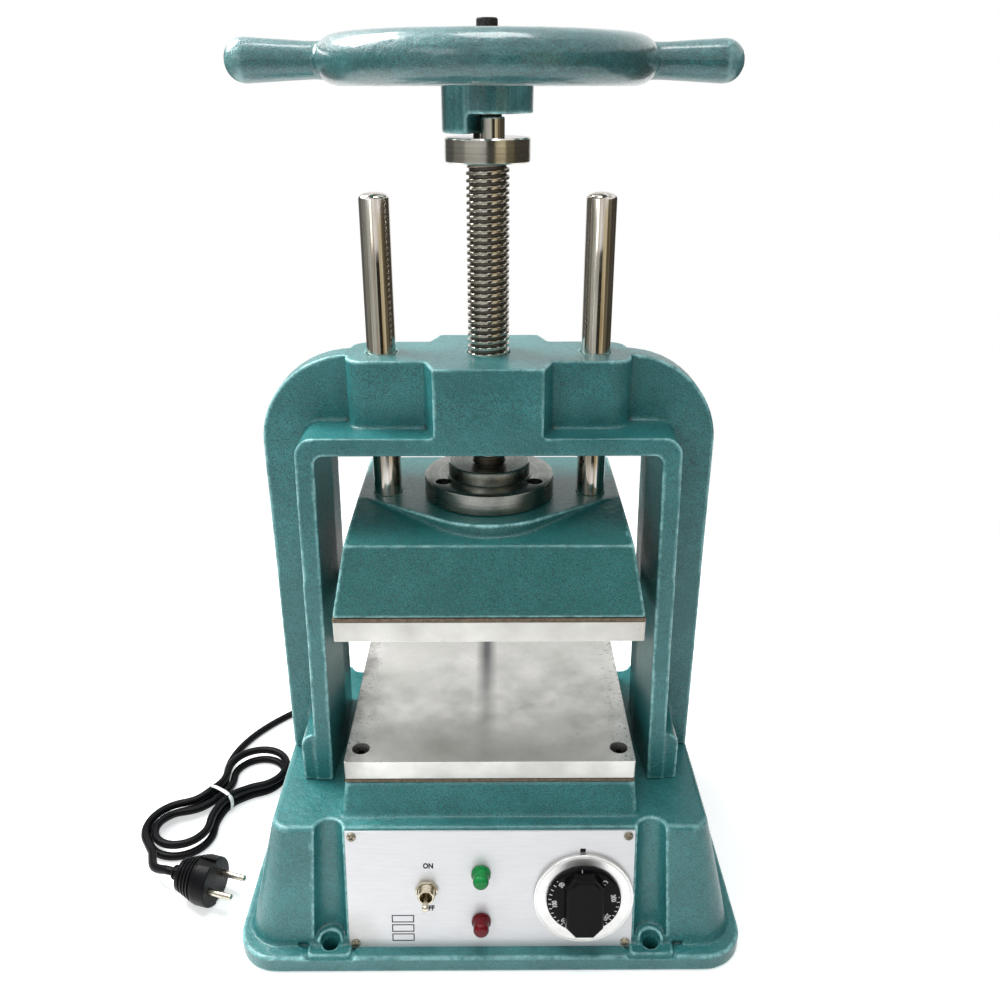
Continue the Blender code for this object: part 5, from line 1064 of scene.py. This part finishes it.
satin, tree, shader = new_material("satin_panel", (0.80, 0.80, 0.81), 0.36, 0.25)
streaks = noise(tree, 900, 3, 0.6, vector_of(tree, "MULTIPLY", own_metres(tree), BRUSHED))
colour = mixed(tree, ranged(tree, streaks, 0.3, 0.7), (0.78, 0.78, 0.80, 1), (0.83, 0.83, 0.84, 1))
apart = parted(tree)
corner = number_of(tree, "MULTIPLY", ranged(tree, apart["X"], -0.070, -0.098),
                   ranged(tree, apart["Z"], 0.045, 0.016))
dirty = number_of(tree, "MULTIPLY", corner,
                  ranged(tree, noise(tree, 42, 4, 0.6), 0.35, 0.6, 0.2, 0.9))
feed(tree, shader, Base_Color=mixed(tree, dirty, colour, (0.40, 0.37, 0.31, 1)),
     Roughness=ranged(tree, streaks, 0.3, 0.7, 0.42, 0.30))
dress(satin, "control_panel")

brassy = turned_metal("brassy_screw", (0.05, 0.04, 0.025), (0.60, 0.55, 0.42), 0.30, 800.0)
dome = [(0.0031, 0.0018), (0.0031, 0.0021)]
dome += [(0.0031 * math.cos(math.radians(angle)), 0.0021 + 0.0011 * math.sin(math.radians(angle)))
         for angle in (20, 40, 60, 80)]
for number, (x, y) in enumerate([(0.0941 * x, 0.0423 * y) for x, y in CORNERS], 1):
    head = turned_on_lathe("panel_fixing_%d" % number, dome, 40)
    for turned in (0, 90):
        slot = box_stack("slot", (0.0020, 0.00055, 0.0002, 0.0020),
                         (0.0020, 0.00055, 0.0002, 0.0040), steps=2)
        cut_out(head, put(slot, Matrix.Rotation(math.radians(turned + 20 * number), 4, "Z")))
    put(round_edges(head, 0, 2, 35), PANEL @ Matrix.Translation((x, y, 0)))
    finish(head, brassy, "base", "steel", "panel_screw_%d" % number)


def words(text, height, centre, turned=0.0, wide=1.0):
    """Raised ink lettering of a given height round a centre."""
    line = bpy.data.curves.new(text, "FONT")
    line.body, line.align_x, line.align_y = text, "CENTER", "CENTER"
    line.size, line.offset = height / CAPITAL_SHARE, INK_SPREAD * height
    line.extrude = INK_THICK / 2
    letters = placed("text_" + text, line)
    mesh = settled_mesh(letters)
    bpy.data.objects.remove(letters)
    middle = [(min(v.co[axis] for v in mesh.vertices) + max(v.co[axis] for v in mesh.vertices)) / 2
              for axis in (0, 1)]
    mesh.transform(Matrix.Translation((*centre, 0)) @ Matrix.Rotation(turned, 4, "Z")
                   @ Matrix.Diagonal((wide, 1, 1, 1))
                   @ Matrix.Translation((-middle[0], -middle[1], 0)))
    return placed("text_" + text, mesh)


def gather(made, *others):
    """Put other objects' meshes into one object."""
    bm = bmesh.new()
    for part in (made, *others):
        bm.from_mesh(part.data)
    bm.to_mesh(made.data)
    bm.free()
    for part in others:
        bpy.data.objects.remove(part)
    return made


def empty_box(low):
    """A printed box with nothing in it: a thin upright ring of ink."""
    left, right, high, line = -0.0685, -0.0530, low + 0.0060, 0.0007
    return skin("box", [[(left + inset, low + inset, z), (right - inset, low + inset, z),
                         (right - inset, high - inset, z), (left + inset, high - inset, z)]
                        for inset, z in ((0, 0), (0, INK_THICK), (line, INK_THICK), (line, 0))],
                loop=True)


ink = mottled("black_ink", (0.010, 0.010, 0.012), (0.07, 0.07, 0.07), (700, 3, 0.6), (0.55, 0.80),
              (0.6,), Specular_IOR_Level=0.15)
marks = [words(text, 0.0038, (-0.0425, height), 0, 0.82)
         for text, height in (("ON", 0.0196), ("OFF", -0.0140))]
marks += [empty_box(low) for low in (-0.0256, -0.0332, -0.0407)]
index = moved(rounded_box(0.0019, 0.0015, 0.0002, 2), 0.0633, 0.0311)
marks.append(stack("index", (index, 0), (index, INK_THICK)))
panel_print = gather(*marks)
panel_print.name = "panel_print"
finish(put(panel_print, PANEL @ Matrix.Translation((0, 0, PANEL_FACE))), ink, "base",
       "black_plastic")


# The toggle switch: a nickel-plated threaded bush and hexagon nut through the panel, and a lever
# with a thick round end that tips on a ball in the bush.

SWITCH = PANEL @ Matrix.Translation((SWITCH_X, 0.0012, 0))
LEVER_LEAN = math.radians(13)
nickel = turned_metal("nickel_plate", (0.36, 0.31, 0.21), (0.78, 0.72, 0.60), 0.18, 700.0)
rings = [hexagon(0.0081 - cut, 48, z)
         for cut, z in ((0.0005, 0.0018), (0, 0.0022), (0, 0.0040), (0.0007, 0.0045))]
rings += rounds([(0.0066, 0.0046), (0.0062, 0.0043), (0.0062, 0.0021)], 48)
nut = round_edges(skin("switch_nut", rings, loop=True), 0, 2, 30)
finish(put(nut, SWITCH), nickel, "base", "nickel", "toggle_nut")

profile = [(0.0054, -0.0030)]
for number in range(14):
    crest = -0.0020 + 0.0009 * number
    profile += [(0.0058, crest), (0.0054, crest + 0.00045)]
profile += [(0.0056, 0.0106), (0.0052, 0.0110), (0.0044, 0.0110), (0.0042, 0.0106),
            (0.0042, 0.0015), (0.0002, 0.0015)]
bush = round_edges(turned_on_lathe("switch_bush", profile, 48), 0, 2, 40)
add_to(bush, box_stack("switch_case", (0.0062, 0.0140, 0.0010, -0.0203),
                       (0.00675, 0.0145, 0.0012, -0.0198), (0.00675, 0.0145, 0.0012, -0.0003),
                       steps=4))
round_edges(bush, 0, 2, 40)
finish(put(bush, SWITCH), nickel, "base", "nickel", "toggle_switch_body")

profile = (bend((0, 0), 0.0026, -80, 40, 8) + [(0.0014, 0.0026), (0.0015, 0.0040), (0.0021, 0.0105)]
           + bend((0.0004, 0.0135), 0.0020, 0, 85, 8))
lever = round_edges(turned_on_lathe("switch_bat", profile, 40), 0, 2, 50)
put(lever, SWITCH @ Matrix.Translation((0, 0, 0.0044)) @ Matrix.Rotation(LEVER_LEAN, 4, "X"))
finish(lever, nickel, "toggle", "nickel", "toggle_lever")


# The two signal lamps: a black plastic body behind the panel and a domed lens in a collar before
# it, green above and red below, with a painted glow that is brighter where one looks straight
# into the lens.

def lamp_lens(name, height, deep, bright, slot, node):
    """A lens with a shoulder and a soft dome, in its own clear colour, with a painted glow."""
    profile = [(0.0064, 0.0018), (0.0067, 0.0021), (0.0067, 0.0036), (0.0065, 0.0040),
               (0.0057, 0.0043), (0.0055, 0.0048), (0.0054, 0.0107)]
    profile += bend((0.0020, 0.0109), 0.0034, 0, 80, 8)
    lens = round_edges(turned_on_lathe(name, profile, 48), 0, 2, 40)
    put(lens, PANEL @ Matrix.Translation((LAMP_X, height, 0)))
    glass, tree, shader = new_material(name + "_plastic", deep, 0.16, 0, Coat_Weight=0.2,
                                       Coat_Roughness=0.06, Specular_IOR_Level=0.14)
    ripple = noise(tree, 420, 2, 0.5)
    facing = new_node(tree, "ShaderNodeLayerWeight", {"Blend": 0.35}).outputs["Facing"]
    # Brighter where the lens faces the eye: a painted glow.
    colour = mixed(tree, ranged(tree, facing, 0.15, 0.75), (*bright, 1), (*deep, 1))
    colour = mixed(tree, ranged(tree, ripple, 0.4, 0.7, 0, 0.35), colour, (*deep, 1))
    feed(tree, shader, Base_Color=colour)
    add_bump(tree, shader, ripple, 0.0002, 0.4)
    return finish(lens, glass, "base", slot, node)


lamp_lens("green_lens", 0.0135, (0.001, 0.070, 0.015), (0.008, 0.30, 0.065), "green_lens",
          "power_lamp_lens")
lamp_lens("red_lens", -0.0245, (0.035, 0.001, 0.003), (0.19, 0.003, 0.010), "red_lens",
          "heat_lamp_lens")
black_moulding = moulding("black_moulding", (0.012, 0.012, 0.013), (0.05, 0.05, 0.05), 400.0,
                          0.0002, 0.4)
dress(black_moulding, "power_lamp_body", "heat_lamp_body")


# The thermostat: a steel case behind the panel with a copper capillary up to the platen, a bright
# ring on the panel, and a glossy black dial on the shaft, with its figures and strokes in white.

DIAL = PANEL @ Matrix.Translation((0.0643, -0.0050, 0))
DIAL_FOOT = 0.0046
ZERO_ANGLE = 94
DEGREE_ANGLE = 47
FIGURE_STEP = 45.5
FIGURE_REACH = 0.0203
STROKE_STEP = 9.1
STROKE_REACH = 0.0246
DIAL_RIM = 0.0232
RIM_SLOPE = 0.30
INK_HEIGHT = 0.00262

zinc = turned_metal("zinc_plate", (0.34, 0.33, 0.30), (0.62, 0.61, 0.58), 0.30, 300.0)
dress(zinc, "thermostat_body", "thermostat_shaft")
dress(mottled("drawn_copper", (0.72, 0.36, 0.20), (0.28, 0.13, 0.07), (90, 4, 0.6), (0.4, 0.65),
              (0.28,), 1.0), "thermostat_capillary")

profile = [(0.0205, 0.0018), (0.0342, 0.0018), (0.0345, 0.0021), (0.0345, 0.0047),
           (0.0342, 0.0050), (0.0333, 0.0050), (0.0331, 0.0047), (0.0327, 0.0047),
           (0.0325, 0.0050), (0.0292, 0.0044), (0.0266, 0.0040), (0.0212, 0.0038),
           (0.0206, 0.0035)]
bezel = round_edges(turned_on_lathe("dial_ring", profile, 128, loop=True), 0.0002, 2, 30)
bright_ring = turned_metal("bright_ring", (0.66, 0.66, 0.65), (0.84, 0.84, 0.83), 0.34, 900.0)
finish(put(bezel, DIAL), bright_ring, "base", "bezel", "dial_bezel")

profile = [(0.0034, 0), (0.0250, 0), (0.0256, 0.0005), (0.0256, 0.0012), (0.0252, 0.0017),
           (0.0244, 0.0022), (DIAL_RIM, 0.0025), (0.0150, 0.0026), (0.0034, 0.0026)]
dial = turned_on_lathe("dial_knob", [(radius, DIAL_FOOT + z) for radius, z in profile], 128)


def grip_outline(half_width, half_length, tip):
    """The grip from in front: straight sides whose ends slant in to a short flat edge."""
    corner = half_length * 0.66
    return [(half_width, -corner), (half_width, corner), (tip, half_length), (-tip, half_length),
            (-half_width, corner), (-half_width, -corner), (-tip, -half_length),
            (tip, -half_length)]


add_to(dial, stack("grip", *[(grip_outline(*sizes), DIAL_FOOT + z) for *sizes, z in
                             ((0.0138, 0.0226, 0.0068, 0.0010), (0.0131, 0.0222, 0.0064, 0.0090),
                              (0.0125, 0.0217, 0.0060, 0.0118),
                              (0.0114, 0.0208, 0.0054, 0.0126))]))
cut_out(dial, turned_on_lathe("shaft_bore", [(0.0033, DIAL_FOOT - 0.001),
                                             (0.0033, DIAL_FOOT + 0.0085)], 32))
round_edges(dial, 0.0005, 3, 28)
finish(put(dial, DIAL),
       moulding("glossy_black", (0.004, 0.004, 0.005), (0.018, 0.018, 0.018), 260.0,
                polish=(0.10, 0.26), Specular_IOR_Level=0.08),
       "dial", "black_plastic", "thermostat_dial")


figures = []
for number in range(1, 7):
    angle = math.radians(ZERO_ANGLE + FIGURE_STEP * number)
    figures.append(words(str(50 * number), 0.0031, on_circle(FIGURE_REACH, angle),
                         angle - math.pi / 2, 0.85))
figures.append(words("C", 0.0034, on_circle(FIGURE_REACH, math.radians(DEGREE_ANGLE)), -0.75))
# One stroke at zero, and one for every ten degrees from 50 to 300, whose first and last are longer.
for number in (0, *range(5, 31)):
    half = (0.0034 if number in (5, 30) else 0.0021) / 2
    stroke = box_stack("stroke", (half, 0.00030, 0.0001, 0), (half, 0.00030, 0.0001, INK_THICK),
                       steps=2)
    turned = Matrix.Rotation(math.radians(ZERO_ANGLE + STROKE_STEP * number), 4, "Z")
    figures.append(put(stroke, turned @ Matrix.Translation((STROKE_REACH - half, 0, 0))))
figures = gather(*figures)
figures.name = "dial_figures"
for vertex in figures.data.vertices:
    past_rim = max(0.0, math.hypot(vertex.co.x, vertex.co.y) - DIAL_RIM)
    vertex.co.z += DIAL_FOOT + INK_HEIGHT - RIM_SLOPE * past_rim
white_ink = mottled("white_ink", (0.78, 0.78, 0.76), (0.30, 0.30, 0.29), (900, 3, 0.6),
                    (0.60, 0.80), (0.5,))
finish(put(figures, DIAL), white_ink, "dial", "white")


# The glands: a black hexagon and a ribbed, tapering sleeve where the mains cord leaves the base,
# and two short ones for the heater's lead, at the back of the base and of the head.

SHORT_NOSE = (0.004, 0.0068, 0.0058, 0.0035)


def gland(name, place, nose, root, tip, bore, body, node):
    """A hexagon with a thread behind it and a nose before it that narrows from root to tip."""
    behind = [(bore, -0.0138), (0.0070, -0.0138)]
    for number in range(7):
        z = -0.0125 + 0.0018 * number
        behind += [(0.0074, z), (0.0070, z + 0.0008)]
    nut = ((0.0106, 0.0003), (0.0110, 0.0007), (0.0110, 0.0056), (0.0103, 0.0062))
    before = [(root + 0.0012, 0.0063), (root + 0.0010, 0.0075)]
    steps = max(2, round(nose / 0.0030))
    run = nose / steps
    for number in range(steps):
        share = (number + 0.2) / steps
        radius = root + (tip - root) * share
        z = 0.0075 + (nose - 0.0016) * share
        before += [(radius, z), (radius, z + run * 0.40), (radius - 0.0008, z + run * 0.52),
                   (radius - 0.0008, z + run * 0.88)]
    before += [(tip, 0.0061 + nose), (tip - 0.0006, 0.0063 + nose), (bore, 0.0063 + nose)]
    rings = rounds(behind, 60) + [hexagon(r, 60, z) for r, z in nut] + rounds(before, 60)
    made = put(round_edges(skin(name, rings, loop=True), 0, 2, 35), place)
    return finish(made, black_moulding, body, "black_plastic", node)


gland("cord_sleeve", CORD_GLAND, 0.026, 0.0068, 0.0046, 0.0029, "base", "cord_gland")
gland("base_lead_sleeve", face_place(0.085, 0.070, 1), *SHORT_NOSE, "base", "base_lead_gland")


# The head: an iron casting with a sloping front and a boss for the collar and the posts, enamelled
# as the base but in darker colours, which paint shade on it; it moves up and down with the upper
# platen under it.

HEAD_FOOT = 0.2559
HEAD_HEIGHT = 0.0558
BACK_LEAN = math.atan2(PLATE_HALF[1] - 0.066, HEAD_HEIGHT)
LEAD_HEIGHT = 0.022


def wrapped(name, points):
    """The convex body round a set of points."""
    bm = bmesh.new()
    for point in points:
        bm.verts.new(point)
    found = bmesh.ops.convex_hull(bm, input=bm.verts)
    spare = {v for v in found["geom_interior"] + found["geom_unused"]
             if isinstance(v, bmesh.types.BMVert)}
    bmesh.ops.delete(bm, geom=list(spare), context="VERTS")
    return as_object(name, bm)


points = [(PLATE_HALF[0] * x, PLATE_HALF[1] * y, 0) for x, y in CORNERS]
for x in (-1, 1):
    points += [(x * 0.0915, -0.066, 0.046), (x * 0.0885, -0.011, HEAD_HEIGHT),
               (x * 0.0885, 0.066, HEAD_HEIGHT)]
head = wrapped("press_head", points)
outline = ring_points(0.057, 96)
for x in (-POST_X, POST_X):
    outline += ring_points(0.018, 48, (x, 0))
add_to(head, wrapped("boss", [(x, y, z) for x, y in outline for z in (0.0358, HEAD_HEIGHT)]))
cut_out(head, turned_on_lathe("seat", [(0.0226, 0.0351), (0.0226, 0.0580)], 64))
for x in (-POST_X, POST_X):
    cut_out(head, turned_on_lathe("socket", [(0.0097, 0.0195), (0.0097, 0.0580)], 48,
                                  centre=(x, 0)))
lead_place = tilted_place((0.063, PLATE_HALF[1] - LEAD_HEIGHT * math.tan(BACK_LEAN),
                           HEAD_FOOT + LEAD_HEIGHT), 1, BACK_LEAN)
put(head, Matrix.Translation((0, 0, HEAD_FOOT)))
cut_out(head, put(turned_on_lathe("lead_hole", [(0.0078, -0.0145), (0.0078, 0.003)], 32),
                  lead_place))
as_cast(head)
# Darker copies of the base's colours: painted shade.
finish(head, enamel("head_enamel", (0.003, 0.040, 0.040), (0.016, 0.190, 0.184),
                    (0.036, 0.260, 0.250)),
       "head", "paint", "head_casting")
gland("head_lead_sleeve", lead_place, *SHORT_NOSE, "head", "head_lead_gland")


# The upper platen hangs under the head as the lower one lies on the base: board, heater, a milled
# plate, and four socket screws sunk in it from below.

UPPER_PLATE = (0.2387, 0.2531)
# The same milled aluminium as the lower plate in darker colours: painted shade.
shaded_upper_metal, tree, shader, colour = milled_aluminium(
    "upper_platen_metal", (0.52, 0.515, 0.48), (0.64, 0.63, 0.595))
feed(tree, shader, Base_Color=colour)
finish(milled_plate("upper_plate", *UPPER_PLATE, SCREW_PLACES, False), shaded_upper_metal, "head",
       "platen", "upper_platen")
for number, place in enumerate(SCREW_PLACES, 1):
    screw = socket_screw("upper_plate_screw_%d" % number, PLATE_SCREW, -0.2477, -0.2422,
                         SCREW_SOCKET, place)
    finish(put(screw, UPSIDE_DOWN), blackened, "head", "black_oxide",
           "upper_platen_bolt_%d" % number)


# The guide posts: two ground and polished steel bars, pressed into the head, whose domed ends
# stand out above the arch.

POST_FOOT, POST_TOP = 0.2757, 0.5045
polished, tree, shader = new_material("polished_bar", (0.80, 0.78, 0.75), 0.07, 1.0)
drawn = noise(tree, 420, 3, 0.6, vector_of(tree, "MULTIPLY", own_metres(tree), (1, 1, 0.02)))
worn = noise(tree, 36, 3, 0.6)
colour = mixed(tree, ranged(tree, drawn, 0.35, 0.62), (0.42, 0.35, 0.27, 1), (0.82, 0.80, 0.77, 1))
colour = mixed(tree, ranged(tree, worn, 0.50, 0.72, 0, 0.45), colour, (0.40, 0.33, 0.25, 1))
feed(tree, shader, Base_Color=colour, Roughness=ranged(tree, worn, 0.3, 0.7, 0.05, 0.16))
profile = [(0.0088, POST_FOOT), (0.0094, POST_FOOT + 0.0006), (0.0094, POST_TOP - 0.0002)]
profile += [(0.0092 * math.cos(angle), POST_TOP + 0.0035 * math.sin(angle))
            for angle in (math.radians(10 * step) for step in range(1, 9))]
for side, node in ((-1, "guide_post_left"), (1, "guide_post_right")):
    bar = turned_on_lathe(node.replace("guide_post", "post"), profile, 64,
                          centre=(side * POST_X, 0))
    finish(round_edges(bar, 0, 2, 40), polished, "head", "chrome", node)


# The thrust collar: a turned steel flange with a hub round the screw, held on the head by three
# sunk socket screws, over the bearing that the screw's foot pushes on.

COLLAR_SCREWS = [on_circle(0.0350, math.radians(90 + 120 * number)) for number in range(3)]
dark_turned = turned_metal("dark_turned_steel", (0.12, 0.125, 0.115), (0.36, 0.37, 0.34), 0.22,
                           420.0, 0.00004)
profile = [(0.0104, 0.3062), (0.0218, 0.3062), (0.0222, 0.3066), (0.0222, 0.3120),
           (0.0432, 0.3120), (0.0438, 0.3126), (0.0438, 0.3248), (0.0434, 0.3254),
           (0.0427, 0.3257), (0.0290, 0.3257), (0.0282, 0.3254), (0.0275, 0.3258),
           (0.0275, 0.3338), (0.0270, 0.3345), (0.0264, 0.3348), (0.0112, 0.3348),
           (0.0104, 0.3340)]
collar = turned_on_lathe("thrust_flange", profile, 128, loop=True)
for place in COLLAR_SCREWS:
    cut_out(collar,
            turned_on_lathe("counterbore", [(0.0053, 0.3157), (0.0053, 0.3267)], 40, centre=place),
            turned_on_lathe("hole", [(0.0028, 0.3110), (0.0028, 0.3170)], 32, centre=place))
finish(round_edges(collar, 0, 2, 25), dark_turned, "head", "steel", "thrust_collar")
for number, place in enumerate(COLLAR_SCREWS, 1):
    finish(socket_screw("collar_screw_%d" % number, 0.0048, 0.3167, 0.3217, 0.0026, place),
           blackened, "head", "black_oxide", "thrust_collar_screw_%d" % number)
dress(zinc, "thrust_bearing")


# The press screw: a steel bar with a right-hand thread of six turns to the inch, its crests worn
# flat and bright, with a plain neck in the collar and a spigot for the wheel.

PITCH = 0.0254 / 6
THREAD_FOOT, THREAD_END = 0.3383, 0.5246
ROOT, DEPTH = 0.0113, 0.0020
THREAD_SIDES = 64
ROWS_PER_TURN = 14


def thread_radius(angle, height):
    """A trapezoid thread that runs out at both ends."""
    turn = (height / PITCH - angle / math.tau) % 1
    rise = min(max((abs(turn - 0.5) - 0.19) / 0.09, 0.0), 1.0)
    ends = min(max(min(height - THREAD_FOOT, THREAD_END - height) / (0.8 * PITCH), 0.0), 1.0)
    return ROOT + DEPTH * rise * ends


rings = rounds([(0.0190, HEAD_FOOT + 0.0428), (0.0195, HEAD_FOOT + 0.0432),
                (0.0195, HEAD_FOOT + 0.0494), (0.0190, HEAD_FOOT + 0.0498),
                (0.0100, HEAD_FOOT + 0.0498), (0.0100, THREAD_FOOT - 0.0008),
                (ROOT, THREAD_FOOT - 0.0001)], THREAD_SIDES)
rows = round((THREAD_END - THREAD_FOOT) / PITCH * ROWS_PER_TURN)
angles = [math.tau * step / THREAD_SIDES for step in range(THREAD_SIDES)]
for row in range(rows + 1):
    height = THREAD_FOOT + (THREAD_END - THREAD_FOOT) * row / rows
    rings.append(level([on_circle(thread_radius(angle, height), angle) for angle in angles],
                       height))
rings += rounds([(0.0085, THREAD_END + 0.0001), (0.0085, 0.5911), (0.0079, 0.5917),
                 (0.0042, 0.5917), (0.0042, 0.5734)], THREAD_SIDES)
screw = round_edges(skin("lead_screw", rings), 0, 2, 50)
worn_steel, tree, shader = new_material("worn_thread", (0.60, 0.57, 0.52), 0.22, 1.0)
marks = add_effect(tree, turning, Rings=1200.0, Spread=0.4)
reach = from_axis(tree, parted(tree))
colour = mixed(tree, marks["Tone"], (0.45, 0.41, 0.34, 1), (0.80, 0.77, 0.72, 1))
# Darker towards the thread's root.
colour = mixed(tree, ranged(tree, reach, 0.0129, 0.0116, 0, 0.88), colour, (0.06, 0.050, 0.040, 1))
feed(tree, shader, Base_Color=colour, Roughness=ranged(tree, reach, 0.0116, 0.0132, 0.50, 0.16))
finish(screw, worn_steel, "screw", "steel", "press_screw")


# The drive collar: a turned steel ring fixed on the screw, and the polished pin that stands up from
# it, which the wheel's dog strikes to knock the screw tight or loose.

DRIVE_FOOT, DRIVE_TOP = 0.5249, 0.5390
DRIVE_PIN = on_circle(0.0172, math.radians(280))
bright_turned = turned_metal("bright_turned_steel", (0.40, 0.38, 0.34), (0.80, 0.78, 0.74), 0.12,
                             520.0)
profile = [(0.0088, DRIVE_FOOT), (0.0249, DRIVE_FOOT), (0.0256, 0.5256), (0.0256, 0.5382),
           (0.0249, DRIVE_TOP), (0.0088, DRIVE_TOP)]
drive_ring = turned_on_lathe("drive_ring", profile, 128, loop=True)
cut_out(drive_ring, turned_on_lathe("pin_seat", [(0.0074, 0.5290), (0.0074, 0.5400)], 48,
                                    centre=DRIVE_PIN))
finish(round_edges(drive_ring, 0.0002, 2, 30), bright_turned, "screw", "steel", "drive_collar")
profile = [(0.0070, 0.5294), (0.0072, 0.5298), (0.0072, 0.5498), (0.0066, 0.5506)]
pin = turned_on_lathe("drive_stud", profile, 64, centre=DRIVE_PIN)
finish(round_edges(pin, 0.0003, 2, 30), polished, "screw", "chrome", "drive_pin")


# The handwheel: an iron casting with a thick round rim, two grips, four spokes and a hub that is
# cut away from below except for its dog, enamelled as the rest but in darker colours, which paint
# shade on it; a black socket screw holds it.

WHEEL_TURN = 2.5
WHEEL_PLACE = (Matrix.Translation((0, 0, 0.5799))
               @ Matrix.Rotation(math.radians(WHEEL_TURN), 4, "Z"))
RIM_REACH = 0.0840
GRIP_REACH = 0.1493
GRIP_ROUND = 0.0115
FAN_STEPS = 32


def oval(half_width, half_height, power, steps):
    """A closed section between an ellipse and a rectangle."""
    section = []
    for step in range(steps):
        angle = math.tau * step / steps
        section.append(tuple(math.copysign(half * abs(value) ** (2 / power), value)
                             for half, value in ((half_width, math.cos(angle)),
                                                 (half_height, math.sin(angle)))))
    return section


profile = [(RIM_REACH + x, z) for x, z in oval(0.0140, 0.0134, 2.1, 32)]
wheel = turned_on_lathe("hand_wheel", profile, 128, loop=True)
profile = [(0.0112, RIM_REACH), (0.0100, 0.0985), (0.0102, 0.1040)]
profile += bend((0.0122 - GRIP_ROUND, GRIP_REACH - GRIP_ROUND), GRIP_ROUND, 0, 88, 12)
for side in (-1, 1):
    grip = turned_on_lathe("grip", profile, 48)
    add_to(wheel, put(grip, Matrix.Rotation(side * math.pi / 2, 4, "Y")))
profile = [(0.0088, -0.0386), (0.0266, -0.0386), (0.0270, -0.0382), (0.0270, 0.0105),
           (0.0260, 0.0115), (0.0088, 0.0115)]
hub = turned_on_lathe("hub", profile, 96, loop=True)
start, end = math.radians(244 - WHEEL_TURN), math.radians(154 - WHEEL_TURN) + math.tau
fan = [(0, 0)] + [on_circle(0.0290, start + (end - start) * step / FAN_STEPS)
                  for step in range(FAN_STEPS + 1)]
cut_out(hub, stack("under_hub", (fan, -0.0410), (fan, -0.0280)))
for number in range(4):
    spoke = skin("spoke", [[(x, y, z) for y, z in oval(0.0085, 0.0065, 2, 24)]
                           for x in (0.0240, RIM_REACH)])
    add_to(hub, put(spoke, Matrix.Rotation(math.tau * number / 4, 4, "Z")))
add_to(wheel, hub)
cut_out(wheel, turned_on_lathe("bore", [(0.0088, -0.045), (0.0088, 0.020)], 64))
as_cast(wheel, rounds_of_softening=5)
# The enamel's colours are darker copies of the rest: painted shade.
finish(put(wheel, WHEEL_PLACE),
       enamel("wheel_enamel", (0.003, 0.032, 0.034), (0.017, 0.132, 0.137), (0.042, 0.240, 0.248),
              coat=1.0),
       "wheel", "paint", "handwheel")

profile = [(0.0036, 0.5740), (0.0038, 0.5745), (0.0038, 0.5920), (0.0126, 0.5920),
           (0.0130, 0.5923), (0.0130, 0.5936), (0.0125, 0.5940), (0.0062, 0.5940),
           (0.0062, 0.6011), (0.0056, 0.6020), (0.0034, 0.6020)]
cap = turned_on_lathe("wheel_screw", profile, 64)
cut_out(cap, skin("socket", [hexagon(0.0033, 24, z) for z in (0.5965, 0.6040)]))
finish(round_edges(cap, 0.0002, 2, 35), blackened, "screw", "black_oxide", "wheel_bolt")
